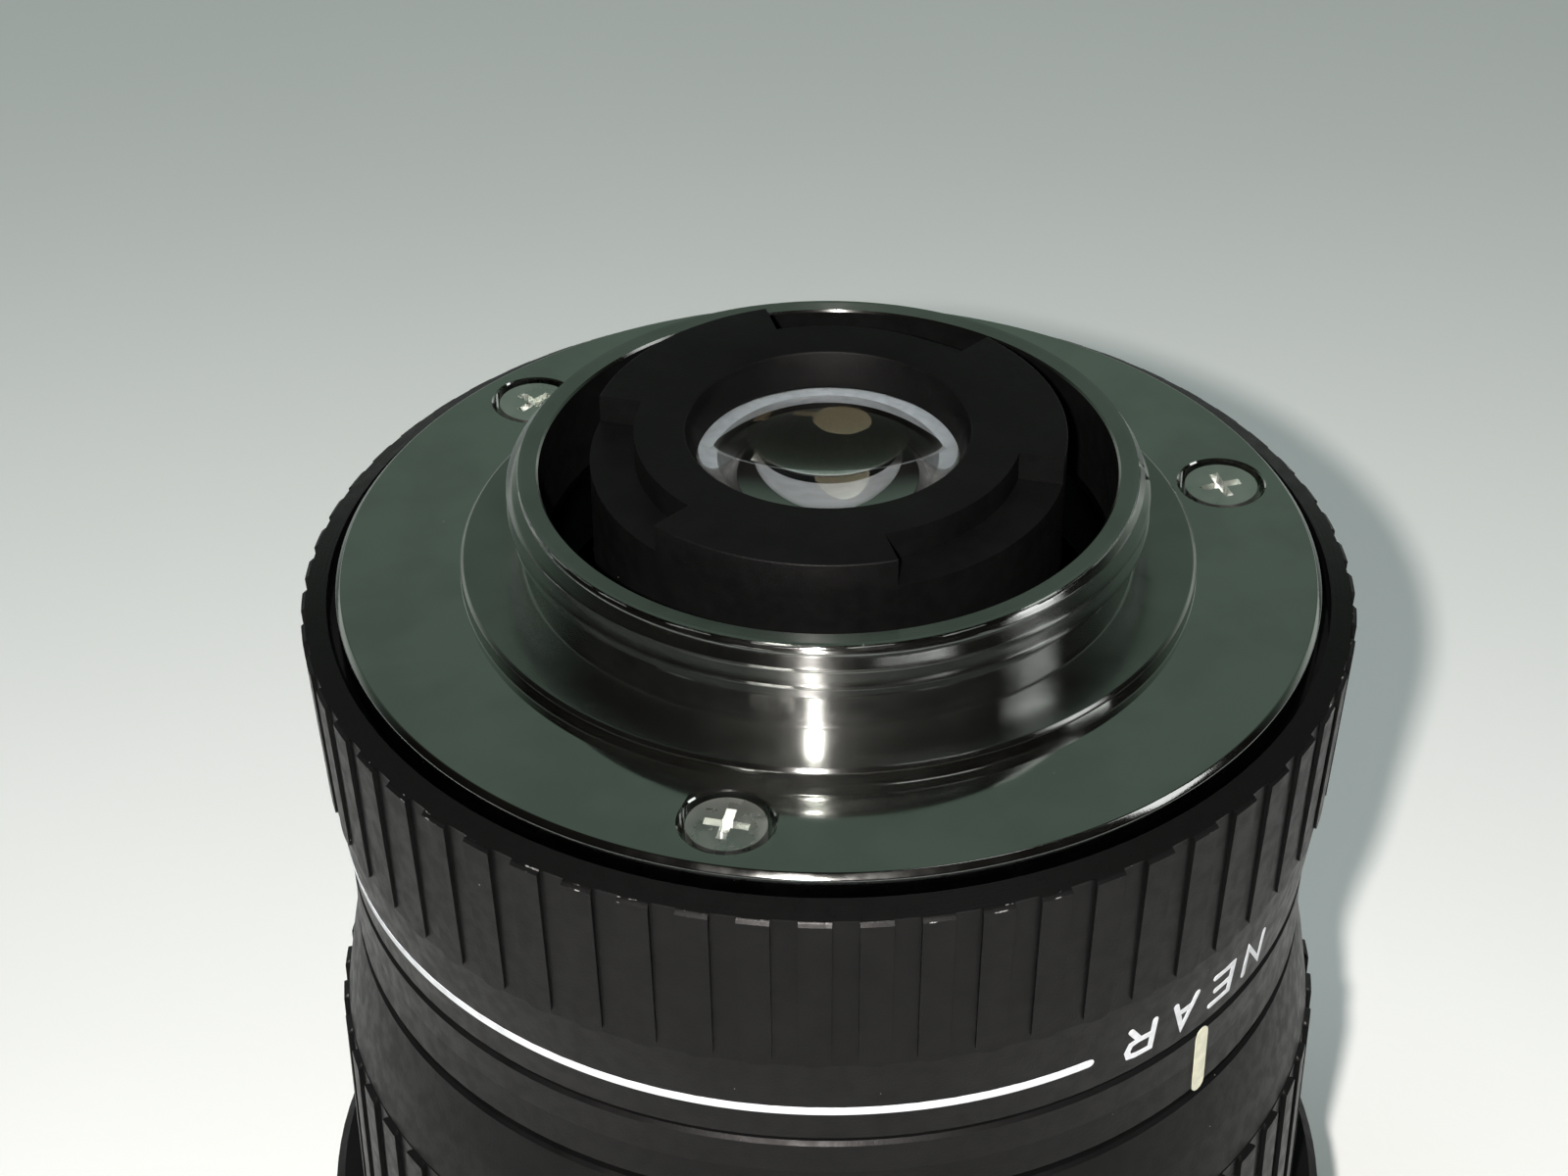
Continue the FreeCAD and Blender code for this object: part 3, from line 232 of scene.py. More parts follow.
def chrome(name, roughness, tone, turned=False, dents=0.0):
    """Plated or plain metal. Lathe marks draw highlights out across turned faces; dents make it uneven."""
    finish = Finish(name)
    specks = finish.specks(spacing=1.7, size=0.05, share=0.35)
    patches = finish.cloudy(scale=260, detail=3.0, spread=0.15)
    base = finish.mix(patches, *shades(tone, 0.06, CHROME_TINT))
    base = finish.mix(finish.math("MULTIPLY", specks, SPECK_COVER), base, CHROME_SPECK)
    low, high = roughness
    rough = finish.cloudy(scale=900, detail=4.0, low=low, high=high)
    rough = finish.math("ADD", rough, finish.math("MULTIPLY", specks, SPECK_ROUGHNESS))
    finish.surface(Base_Color=base, Metallic=1.0, Roughness=rough)
    if turned:
        tangent = finish.add("ShaderNodeTangent", {}, direction_type="RADIAL", axis="Z").outputs[0]
        finish.surface(Anisotropic=1.0, Anisotropic_Rotation=ANISOTROPIC_TURN, Tangent=tangent)
        finish.bump(finish.turned_marks(detail=3.0, across=9000, around=3.0, along=9000), depth=0.003)
        return finish.material
    waves = finish.noise(scale=500, detail=3.0)
    if dents:
        dented = finish.math("MULTIPLY", finish.noise(scale=14000), dents)
        finish.bump(finish.math("ADD", waves, dented), depth=0.004)
    else:
        finish.bump(waves, depth=0.0012)
    return finish.material


def black(name, tone, roughness, grain, dust, worn_edges=(), wear_share=0.0, lip=None):
    """Black finish with fine grain, faint cloudy shade, dust specks and bright nicks along its edges.

    Above the height of lip the finish is glossier, with turned marks, and its colour is blacker as painted
    shade."""
    finish = Finish(name)
    base = finish.mix(finish.cloudy(scale=420, detail=4.0), *shades(tone, 0.16, BLACK_TINT))
    rough = finish.cloudy(scale=1500, detail=3.0, low=roughness - 0.06, high=roughness + 0.06)
    height = finish.noise(scale=9000, detail=3.0)
    if lip:
        on_lip = finish.between(finish.place()[2], (lip - LIP_FADE) * MM, lip * MM)
        # Painted shade: the lip's upward face is coloured blacker because it shows darker; its gloss and
        # turned marks are its finish
        base = finish.mix(on_lip, base, LIP_PAINTED_SHADE)
        glossier = finish.between(on_lip, 0, 1, 1.0, LIP_ROUGHNESS_SHARE)
        rough = finish.math("MULTIPLY", rough, glossier)
        marks = finish.turned_marks(detail=2.0, across=16000, around=4.0, along=0)
        marks = finish.math("MULTIPLY", marks, on_lip)
        height = finish.math("ADD", height, finish.math("MULTIPLY", marks, LIP_MARK_HEIGHT))
    large_specks = finish.specks(spacing=2.1, size=0.05, share=0.3 * dust)
    small_specks = finish.specks(spacing=0.9, size=0.028, share=0.22 * dust)
    specks = finish.math("MAXIMUM", large_specks, small_specks)
    base = finish.mix(finish.math("MULTIPLY", specks, SPECK_COVER), base, DUST)
    metal = 0.0
    if worn_edges:
        worn = finish.worn_edge(worn_edges, wear_share)
        base = finish.mix(worn, base, BARE_METAL)
        metal = finish.math("MULTIPLY", worn, WEAR_METAL)
        rough = finish.math("SUBTRACT", rough, finish.math("MULTIPLY", worn, WEAR_POLISH))
    finish.surface(Base_Color=base, Metallic=metal, Roughness=rough, Specular_IOR_Level=BLACK_SHEEN)
    raised = finish.math("MULTIPLY", specks, SPECK_HEIGHT)
    finish.bump(finish.math("ADD", height, raised), depth=0.012 * grain)
    return finish.material


def coated_glass(name):
    """Clear glass with a thin coating, faint smudges and a little dust."""
    finish = Finish(name)
    smudge = finish.between(finish.noise(scale=350, detail=4.0), 0.45, 0.8, new_low=0.0, new_high=0.02)
    dusty = finish.specks(spacing=1.3, size=0.04, share=0.25)
    finish.surface(
        Base_Color=finish.mix(dusty, GLASS_TINT, GLASS_DUST),
        Roughness=finish.math("ADD", smudge, finish.math("MULTIPLY", dusty, 0.4)),
        Transmission_Weight=1.0,
        IOR=GLASS_INDEX,
        Thin_Film_Thickness=COATING_NANOMETRES,
        Thin_Film_IOR=COATING_INDEX,
    )
    return finish.material


def paint(name, colour):
    """Slightly uneven paint."""
    finish = Finish(name)
    paler = tuple(min(1.0, part * 1.05) for part in colour) + (1,)
    darker = tuple(part * 0.9 for part in colour) + (1,)
    finish.surface(
        Base_Color=finish.mix(finish.cloudy(scale=2500, detail=3.0, spread=0.15), darker, paler),
        Roughness=finish.cloudy(scale=5000, detail=2.0, low=0.4, high=0.55),
    )
    finish.bump(finish.noise(scale=12000), depth=0.004)
    return finish.material


# Worn edges by radius and height: both corners of the focus ring's upper chamfer, and the holder's head

RIBBED_EDGES = ((21.14, 46.3), (20.99, 46.45))
RIBBED_LIP = 46.42
HOLDER_EDGES = ((9.30, 53.50),)

CHROME = chrome("polished_chrome", roughness=(0.06, 0.085), tone=0.56)
TURNED_CHROME = chrome("turned_chrome", roughness=(0.15, 0.19), tone=0.42, turned=True)
ROUGH_CHROME = chrome("rough_chrome", roughness=(0.07, 0.13), tone=0.45, dents=0.4)
SCREW_STEEL = chrome("screw_steel_finish", roughness=(0.24, 0.38), tone=0.8)
BLADE_STEEL = chrome("blade_steel_finish", roughness=(0.25, 0.35), tone=0.12)
PIN_STEEL = chrome("pin_steel_finish", roughness=(0.15, 0.25), tone=0.5)
SATIN = black("satin_black", tone=0.005, roughness=0.42, grain=0.6, dust=0.6)
RIBBED = black(
    "ribbed_black", tone=0.0045, roughness=0.42, grain=0.5, dust=1.0,
    worn_edges=RIBBED_EDGES, wear_share=0.38, lip=RIBBED_LIP,
)
MATT = black(
    "matt_black", tone=0.003, roughness=0.5, grain=0.6, dust=0.4, worn_edges=HOLDER_EDGES, wear_share=0.45
)
INNER = black("inner_black", tone=0.012, roughness=0.55, grain=0.8, dust=0.1)
GLASS = coated_glass("coated_glass_finish")
BEVEL = paint("ground_bevel", (0.66, 0.65, 0.70))
WHITE = paint("white_print", (0.72, 0.76, 0.80))
CREAM = paint("cream_print", (0.70, 0.71, 0.55))

FINISHES = {
    "chrome": TURNED_CHROME,
    "screw_steel": SCREW_STEEL,
    "black_satin": SATIN,
    "black_ribbed": RIBBED,
    "black_matt": MATT,
    "black_inner": INNER,
    "blade_steel": BLADE_STEEL,
    "pin_steel": PIN_STEEL,
    "coated_glass": GLASS,
}

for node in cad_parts.values():
    for slot in node.material_slots:
        slot.material = FINISHES[slot.material.name.split(".")[0]]


def refinish(piece, material, chosen):
    """Gives another material to the faces whose radius and height the test picks."""
    mesh = piece.data
    mesh.materials.append(material)
    for face in mesh.polygons:
        centre = face.center / MM
        if chosen(math.hypot(centre.x, centre.y), centre.z):
            face.material_index = len(mesh.materials) - 1


# Tools for turned, rounded and cut pieces

POLE = 0.0001
MERGE_DISTANCE = 1e-7
PICK_MARGIN = 0.02
FINE_SEGMENTS = 360
ROUNDING_STEPS = 4
LONGEST_REACH = 0.45


def polar(radius, azimuth, height):
    return Vector((radius * math.cos(azimuth), radius * math.sin(azimuth), height)) * MM


def angles_round(segments):
    return [TURN * step / segments for step in range(segments)]


def add_piece(name, mesh, material, body, crease):
    """Makes an object of the mesh, smooth apart from edges sharper than crease degrees."""
    piece = bpy.data.objects.new(name, mesh)
    bpy.context.scene.collection.objects.link(piece)
    mesh.materials.append(material)
    mesh.polygons.foreach_set("use_smooth", [True] * len(mesh.polygons))
    mesh.set_sharp_from_angle(angle=math.radians(crease))
    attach(piece, body)
    return piece


def rings_mesh(name, rings, closed=True):
    """A skin over rings with the same number of points, back to the first ring or with filled ends."""
    count = len(rings[0])
    points = [point for ring in rings for point in ring]
    faces = []
    for row in range(len(rings) if closed else len(rings) - 1):
        low = row * count
        high = (row + 1) % len(rings) * count
        for column in range(count):
            side = (column + 1) % count
            faces.append((low + column, low + side, high + side, high + column))
    mesh = bpy.data.meshes.new(name)
    mesh.from_pydata(points, [], faces)
    skin = bmesh.new()
    skin.from_mesh(mesh)
    bmesh.ops.remove_doubles(skin, verts=skin.verts, dist=MERGE_DISTANCE)
    if not closed:
        bmesh.ops.holes_fill(skin, edges=skin.edges, sides=0)
    bmesh.ops.recalc_face_normals(skin, faces=skin.faces)
    skin.to_mesh(mesh)
    skin.free()
    return mesh


def turned_mesh(name, profile, segments):
    """A closed profile of (radius, height) corners turned about the optical axis.

    A corner at the radius POLE becomes one point on the axis."""
    angles = angles_round(segments)
    rings = [[polar(radius, angle, height) for angle in angles] for radius, height in profile]
    return rings_mesh(name, rings)


def rounded(profile, corners, radius):
    """The profile with the numbered corners rounded off by short curves.

    A curve takes at most the share LONGEST_REACH of each side that meets in its corner."""
    result = []
    for index, point in enumerate(profile):
        if index not in corners:
            result.append(point)
            continue
        here = Vector(point)
        back = Vector(profile[index - 1]) - here
        onward = Vector(profile[(index + 1) % len(profile)]) - here
        reach = min(radius, LONGEST_REACH * back.length, LONGEST_REACH * onward.length)
        start = here + back.normalized() * reach
        end = here + onward.normalized() * reach
        for step in range(ROUNDING_STEPS + 1):
            share = step / ROUNDING_STEPS
            bent = start.lerp(here, share).lerp(here.lerp(end, share), share)
            result.append((bent.x, bent.y))
    return result


def loose(mesh):
    """A helper object that only serves to cut another."""
    helper = bpy.data.objects.new(mesh.name, mesh)
    bpy.context.scene.collection.objects.link(helper)
    return helper


def cut(piece, cutters):
    """Takes the cutters out of the piece."""
    for cutter in cutters:
        modifier = piece.modifiers.new("cut", "BOOLEAN")
        modifier.object = cutter
        modifier.solver = "EXACT"
    bpy.context.view_layer.update()
    shape = bpy.data.meshes.new_from_object(piece.evaluated_get(bpy.context.evaluated_depsgraph_get()))
    piece.modifiers.clear()
    old = piece.data
    piece.data = shape
    bpy.data.meshes.remove(old)
    for cutter in cutters:
        bpy.data.objects.remove(cutter)


# Threaded collar: the grid of the thread follows the helix, so its crests are true edges

THREAD_RADIUS = 12.7
THREAD_PITCH = 25.4 / 32
THREAD_DEPTH = 0.46
THREAD_FOOT = 49.55
CREST_SHARE = 0.16
ROOT_SHARE = 0.12
CREST_HEIGHT = RIM - 0.8
CREST_AZIMUTH = math.radians(-88)
ROWS_PER_PITCH = 22
RIM_FLAT_RADIUS = 12.07
RIM_STEP = 0.02
RIM_DROP = 0.001
RIM_CHAMFER_DEPTH = 0.2
MOUTH_CHAMFER = 0.08
RUN_OUT_STEP = 0.01
ROOT_DEPTH = 0.6
NECK_FOOT = ((0, 0.08), (0.03, 0.02), (0.09, 0), (0.09, -ROOT_DEPTH))


def thread_radius(phase, height):
    """Radius of the thread at a phase of its pitch, under the rim's chamfer and over the run-out cone."""
    flank = (1 - CREST_SHARE - ROOT_SHARE) / 2
    away = abs((phase + 0.5) % 1 - 0.5)
    depth = min(max((away - CREST_SHARE / 2) / flank, 0), 1) * THREAD_DEPTH
    radius = THREAD_RADIUS - depth
    return max(NECK_RADIUS, min(radius, RIM_FLAT_RADIUS + RIM - height, NECK_RADIUS + height - THREAD_FOOT))


def make_collar():
    """Bore, rim, thread and neck, then the neck's foot, which rounds out and reaches into the boss."""
    angles = angles_round(FINE_SEGMENTS)
    rings = []

    def level(radius, height):
        rings.append([polar(radius, angle, height) for angle in angles])

    level(COLLAR_BORE, MOUNT_SEAT - ROOT_DEPTH)
    level(COLLAR_BORE, RIM - MOUTH_CHAMFER)
    level(COLLAR_BORE + MOUTH_CHAMFER, RIM)
    level(RIM_FLAT_RADIUS - RIM_STEP, RIM)
    start = RIM + THREAD_PITCH
    pitches = (RIM - THREAD_FOOT) / THREAD_PITCH + 2
    for row in range(int(pitches * ROWS_PER_PITCH)):
        ring = []
        for angle in angles:
            on_helix = start - row / ROWS_PER_PITCH * THREAD_PITCH - THREAD_PITCH * angle / TURN
            height = min(max(on_helix, THREAD_FOOT), RIM - RIM_DROP)
            phase = (height - CREST_HEIGHT) / THREAD_PITCH + (angle - CREST_AZIMUTH) / TURN
            ring.append(polar(thread_radius(phase, height), angle, height))
        rings.append(ring)
    level(NECK_RADIUS, THREAD_FOOT - RUN_OUT_STEP)
    for out, up in NECK_FOOT:
        level(NECK_RADIUS + out, MOUNT_SEAT + up)
    mesh = rings_mesh("mount_collar", rings)
    collar = add_piece("mount_collar", mesh, TURNED_CHROME, "barrel", crease=28)

    def on_rim_chamfer(radius, height):
        return radius > RIM_FLAT_RADIUS and height > RIM - RIM_CHAMFER_DEPTH

    def in_bore(radius, height):
        return radius < COLLAR_BORE + PICK_MARGIN

    refinish(collar, ROUGH_CHROME, on_rim_chamfer)
    # The bore takes the matt black finish and renders dark
    refinish(collar, MATT, in_bore)
    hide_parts("mount_plate")


make_collar()


# Mount plate: polished face, turned boss top, three counterbores

PLATE_RADIUS = 19.7
PLATE_CHAMFER = 0.21
PLATE_FACE = 47.45
PLATE_BACK = 45.55
PLATE_ROUNDING = 0.05
SPIGOT_FOOT = 44.35
SPIGOT_RADIUS = 15.37
BOSS_RADIUS = 14.7
BOSS_CHAMFER = 0.15
BOSS_TOP = MOUNT_SEAT - 0.001
SOCKET_FOOT = MOUNT_SEAT - 0.2
SOCKET_RADIUS = NECK_RADIUS - 0.1
SCREW_CIRCLE = 17.1
SCREW_AZIMUTHS = [math.radians(-103.2 + 120 * count) for count in range(3)]
COUNTERBORE_RADIUS = 1.78
COUNTERBORE_MOUTH = COUNTERBORE_RADIUS + 0.12
COUNTERBORE_FLOOR = 46.55
COUNTERBORE_SEGMENTS = 64
MOUTH_SLOPE = 0.06
CUTTER_TOP = PLATE_FACE + 0.5


def counterbore(azimuth):
    """What one counterbore takes out of the plate."""
    profile = [
        (POLE, COUNTERBORE_FLOOR),
        (COUNTERBORE_RADIUS, COUNTERBORE_FLOOR),
        (COUNTERBORE_RADIUS, PLATE_FACE - MOUTH_SLOPE),
        (COUNTERBORE_MOUTH, PLATE_FACE + MOUTH_SLOPE),
        (COUNTERBORE_MOUTH, CUTTER_TOP),
        (POLE, CUTTER_TOP),
    ]
    mesh = turned_mesh("counterbore", profile, COUNTERBORE_SEGMENTS)
    mesh.transform(Matrix.Translation(polar(SCREW_CIRCLE, azimuth, 0)))
    return loose(mesh)


def make_plate():
    profile = [
        (COLLAR_BORE, SPIGOT_FOOT),
        (COLLAR_BORE, SOCKET_FOOT),
        (SOCKET_RADIUS, BOSS_TOP),
        (BOSS_RADIUS - BOSS_CHAMFER, BOSS_TOP),
        (BOSS_RADIUS, MOUNT_SEAT - BOSS_CHAMFER),
        (BOSS_RADIUS, PLATE_FACE),
        (PLATE_RADIUS - PLATE_CHAMFER, PLATE_FACE),
        (PLATE_RADIUS, PLATE_FACE - PLATE_CHAMFER),
        (PLATE_RADIUS, PLATE_BACK),
        (SPIGOT_RADIUS, PLATE_BACK),
        (SPIGOT_RADIUS, SPIGOT_FOOT),
    ]
    profile = rounded(profile, (3, 4, 5, 6, 7), PLATE_ROUNDING)
    mesh = turned_mesh("mount_plate_body", profile, FINE_SEGMENTS)
    plate = add_piece("mount_plate_body", mesh, CHROME, "barrel", crease=25)
    cut(plate, [counterbore(azimuth) for azimuth in SCREW_AZIMUTHS])

    def on_boss_top(radius, height):
        return height > MOUNT_SEAT - 2 * BOSS_CHAMFER

    def at_edge(radius, height):
        return radius > PLATE_RADIUS - PLATE_CHAMFER - PICK_MARGIN

    refinish(plate, TURNED_CHROME, on_boss_top)
    refinish(plate, ROUGH_CHROME, at_edge)
    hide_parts("mount_plate")


make_plate()


# Rear holder: black cap with a countersunk opening and three notches. The rear glass bulges through the
# aperture, with its edge under the lip, over a spacer ring

HOLDER_RADIUS = 9.36
HOLDER_HEAD = 53.56
HOLDER_FOOT = 48.16
HOLDER_ROUNDING = 0.09
HOLDER_SEGMENTS = 240
SKIRT_BORE = 8.44
SKIRT_LIP = 51.66
OPENING_RADIUS = 5.6
APERTURE_RADIUS = 5.2
APERTURE_LAND = 0.06
LIP_HEIGHT = 52.1
NOTCH_AZIMUTHS = [math.radians(-44.8 + 120 * count) for count in range(3)]
NOTCH_HALF_ANGLE = math.radians(30)
NOTCH_INNER = 7.6
NOTCH_FLOOR = 52.36
NOTCH_STEPS = 40
NOTCH_OVERCUT = 1
GLASS_BORE = 5.65
GLASS_RADIUS = 5.6
GLASS_CURVE = 14.0
GLASS_EDGE = 0.06
GLASS_UNDER_LIP = 0.03
GLASS_STEPS = 28
GLASS_SEGMENTS = 192
SPACER_BORE = 4.4
SPACER_RADIUS = 7.0
SPACER_FOOT = 47.6
BRIGHT_FOOT = 49.9
BEVEL_FOOT = 51.28
BEVEL_HEAD = 51.60
BEVEL_RADIUS = 5.3
SHOULDER_HEIGHT = 51.0
SHOULDER_RADIUS = 5.5


def notch(azimuth):
    """What one notch takes out of the holder."""
    outer = HOLDER_RADIUS + NOTCH_OVERCUT
    head = HOLDER_HEAD + NOTCH_OVERCUT
    corners = ((NOTCH_INNER, NOTCH_FLOOR), (outer, NOTCH_FLOOR), (outer, head), (NOTCH_INNER, head))
    rings = []
    for step in range(NOTCH_STEPS + 1):
        angle = azimuth + NOTCH_HALF_ANGLE * (2 * step / NOTCH_STEPS - 1)
        rings.append([polar(radius, angle, height) for radius, height in corners])
    return loose(rings_mesh("notch", rings, closed=False))


def make_rear_holder():
    profile = [
        (SKIRT_BORE, HOLDER_FOOT),
        (HOLDER_RADIUS, HOLDER_FOOT),
        (HOLDER_RADIUS, HOLDER_HEAD),
        (OPENING_RADIUS, HOLDER_HEAD),
        (APERTURE_RADIUS, LIP_HEIGHT + APERTURE_LAND),
        (APERTURE_RADIUS, LIP_HEIGHT),
        (GLASS_BORE, LIP_HEIGHT),
        (GLASS_BORE, SKIRT_LIP),
        (SKIRT_BORE, SKIRT_LIP),
    ]
    profile = rounded(profile, (2, 3), HOLDER_ROUNDING)
    mesh = turned_mesh("rear_holder_cap", profile, HOLDER_SEGMENTS)
    holder = add_piece("rear_holder_cap", mesh, MATT, "rear_group", crease=35)
    cut(holder, [notch(azimuth) for azimuth in NOTCH_AZIMUTHS])
    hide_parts("rear_holder")


def sag(radius):
    """How far a glass face falls from its pole to a radius."""
    return GLASS_CURVE - math.sqrt(GLASS_CURVE * GLASS_CURVE - radius * radius)


def make_rear_glass():
    """A lens with two equal convex faces. The upper one passes just under the lip's edge."""
    rear_pole = LIP_HEIGHT + sag(APERTURE_RADIUS) - GLASS_UNDER_LIP
    front_pole = rear_pole - sag(GLASS_RADIUS) - GLASS_EDGE - sag(GLASS_RADIUS)
    radii = [max(POLE, GLASS_RADIUS * step / GLASS_STEPS) for step in range(GLASS_STEPS + 1)]
    profile = [(radius, rear_pole - sag(radius)) for radius in radii]
    profile += [(radius, front_pole + sag(radius)) for radius in reversed(radii)]
    mesh = turned_mesh("rear_glass_polished", profile, GLASS_SEGMENTS)
    polished = add_piece("rear_glass_polished", mesh, GLASS, "rear_group", crease=40)
    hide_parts("rear_glass")


def make_spacer():
    """Ring under the rear glass: pale bevel and bright upper bore, which the glass shows, black below."""
    profile = [
        (SPACER_BORE, SPACER_FOOT),
        (SPACER_BORE, BRIGHT_FOOT),
        (SPACER_BORE, BEVEL_FOOT),
        (BEVEL_RADIUS, BEVEL_HEAD),
        (SHOULDER_RADIUS, SHOULDER_HEIGHT),
        (SPACER_RADIUS, SHOULDER_HEIGHT),
        (SPACER_RADIUS, SPACER_FOOT),
    ]
    mesh = turned_mesh("rear_spacer_ring", profile, GLASS_SEGMENTS)
    ring = add_piece("rear_spacer_ring", mesh, INNER, "rear_group", crease=40)

    def bright(radius, height):
        return radius < SHOULDER_RADIUS and height > BRIGHT_FOOT

    refinish(ring, BEVEL, bright)
    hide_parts("rear_spacer")


make_rear_holder()
make_rear_glass()
make_spacer()


# Printed words and lines. A letter's strokes are drawn in a box one wide and one high

ROUND_HEAD = [(0, 0), (0, 1), (0.6, 1), (0.9, 0.95), (1, 0.75), (0.9, 0.52), (0.6, 0.46), (0, 0.46)]
MIDDLE_BAR = [(0, 0.52), (0.85, 0.52)]
LETTERS = {
    "A": ([(0, 0), (0.5, 1), (1, 0)], [(0.2, 0.36), (0.8, 0.36)]),
    "C": (
        [
            (1, 0.82), (0.8, 0.98), (0.5, 1), (0.2, 0.95), (0, 0.65),
            (0, 0.35), (0.2, 0.05), (0.5, 0), (0.8, 0.02), (1, 0.18),
        ],
    ),
    "E": ([(1, 1), (0, 1), (0, 0), (1, 0)], MIDDLE_BAR),
    "F": ([(1, 1), (0, 1), (0, 0)], MIDDLE_BAR),
    "L": ([(0, 1), (0, 0), (0.95, 0)],),
    "N": ([(0, 0), (0, 1), (1, 0), (1, 1)],),
    "O": (
        [
            (0.5, 1), (0.15, 0.93), (0, 0.6), (0, 0.4), (0.15, 0.07), (0.5, 0),
            (0.85, 0.07), (1, 0.4), (1, 0.6), (0.85, 0.93), (0.5, 1),
        ],
    ),
    "P": (ROUND_HEAD,),
    "R": (ROUND_HEAD, [(0.55, 0.46), (1, 0)]),
    "S": (
        [
            (0.95, 0.85), (0.7, 0.98), (0.4, 1), (0.08, 0.88), (0.05, 0.65), (0.3, 0.52),
            (0.7, 0.48), (0.95, 0.32), (0.92, 0.1), (0.6, 0), (0.3, 0.02), (0.03, 0.15),
        ],
    ),
}
STROKE = 0.27
MITRE_LIMIT = 2.2
CAP_STEPS = 6
ARC_STEP = 0.5
PRINT_LIFT = 0.012
PRINT_THICKNESS = 2.5 * PRINT_LIFT


def add_stroke(skin, points, width, bend):
    """A flat band with round ends along points in the print's plane, bent onto the ring by bend()."""
    points = [Vector(point) for point in points]
    outline_left = []
    outline_right = []
    for index, point in enumerate(points):
        before = points[max(index - 1, 0)]
        after = points[min(index + 1, len(points) - 1)]
        into = (point - before).normalized() if index else (after - point).normalized()
        out = (after - point).normalized() if index < len(points) - 1 else into
        middle = (into + out).normalized()
        side = Vector((-middle.y, middle.x)) * width / 2
        stretch = min(1 / middle.dot(into), MITRE_LIMIT)
        outline_left.append(point + side * stretch)
        outline_right.append(point - side * stretch)

    def corner(point):
        return skin.verts.new(bend(point.x, point.y))

    def cap(centre, first):
        corners = []
        for step in range(1, CAP_STEPS):
            spoke = first - centre
            spoke.rotate(Matrix.Rotation(math.pi * step / CAP_STEPS, 2))
            corners.append(corner(centre + spoke))
        return corners

    left = [corner(point) for point in outline_left]
    right = [corner(point) for point in outline_right]
    for index in range(len(points) - 1):
        skin.faces.new((left[index], right[index], right[index + 1], left[index + 1]))
    skin.faces.new([left[0]] + cap(points[0], outline_left[0]) + [right[0]])
    skin.faces.new([right[-1]] + cap(points[-1], outline_right[-1]) + [left[-1]])


def add_print(name, strokes, width, material, body, azimuth, height, ring_radius):
    """Prints strokes on a ring, read towards smaller azimuths, with the letters' heads to the front rim."""
    skin = bmesh.new()

    def bend(across, up):
        level = height - up
        radius = ring_radius(level) + PRINT_LIFT
        return polar(radius, math.radians(azimuth) - across / radius, level)

    for stroke in strokes:
        add_stroke(skin, stroke, width, bend)
    bmesh.ops.recalc_face_normals(skin, faces=skin.faces)
    for face in skin.faces:
        outwards = face.calc_center_median()
        outwards.z = 0
        if face.normal.dot(outwards) < 0:
            face.normal_flip()
    mesh = bpy.data.meshes.new(name)
    bmesh.ops.triangulate(skin, faces=[face for face in skin.faces if len(face.verts) > 4])
    bmesh.ops.solidify(skin, geom=skin.faces, thickness=PRINT_THICKNESS * MM)
    skin.to_mesh(mesh)
    skin.free()
    add_piece(name, mesh, material, body, crease=40)


def word_strokes(word, size, width, advance):
    """The strokes of a word of plain letters, centred on its place."""
    strokes = []
    for count, letter in enumerate(word):
        left = (count - (len(word) - 1) / 2) * advance - width / 2
        for stroke in LETTERS[letter]:
            strokes.append([(left + across * width, (up - 0.5) * size) for across, up in stroke])
    return strokes


def arc_strokes(length):
    count = max(2, int(length / ARC_STEP))
    return [[(length * place / count, 0) for place in range(count + 1)]]


# The focus ring's band, the iris ring's neck and the waist between them, with the sizes of their prints

WAIST_RADIUS = 20.1
BAND_FOOT = 34.75
BAND_HEIGHT = 4.4
BAND_FLARE = 0.5
NECK_HEAD = 31.1
NECK_HEIGHT = 5.1
NECK_FLARE = 0.8
NECK_STRAIGHT_SHARE = 0.45
NECK_CURVED_SHARE = 0.55
FOCUS_LETTERS = {"size": 1.55, "width": 1.2, "advance": 2.3}
FOCUS_PRINT_HEIGHT = 36.5
IRIS_LETTERS = {"size": 1.7, "width": 1.45}
IRIS_WORD_HEIGHT = 28.05
IRIS_LINE_HEIGHT = 28.8
INDEX_AZIMUTH = -44.1
INDEX_HEIGHT = 32.95
INDEX_WIDTH = 0.75
INDEX_HALF_LENGTH = 1.3


def focus_band(level):
    """Radius of the focus ring's smooth band."""
    return WAIST_RADIUS + BAND_FLARE * (level - BAND_FOOT) / BAND_HEIGHT


def iris_neck(level):
    """Radius of the iris ring's neck, which flares towards the ribs."""
    share = min(max((NECK_HEAD - level) / NECK_HEIGHT, 0), 1)
    return WAIST_RADIUS + NECK_FLARE * (NECK_STRAIGHT_SHARE * share + NECK_CURVED_SHARE * share * share)


def waist(level):
    """Radius of the index ring, the same at every level."""
    return WAIST_RADIUS


def print_on_focus_ring(name, strokes, width, azimuth):
    height = FOCUS_PRINT_HEIGHT
    add_print(name, strokes, width, WHITE, "focus_ring", azimuth, height, focus_band)


def print_on_iris_ring(name, strokes, width, azimuth, height):
    add_print(name, strokes, width, WHITE, "iris_ring", azimuth, height, iris_neck)


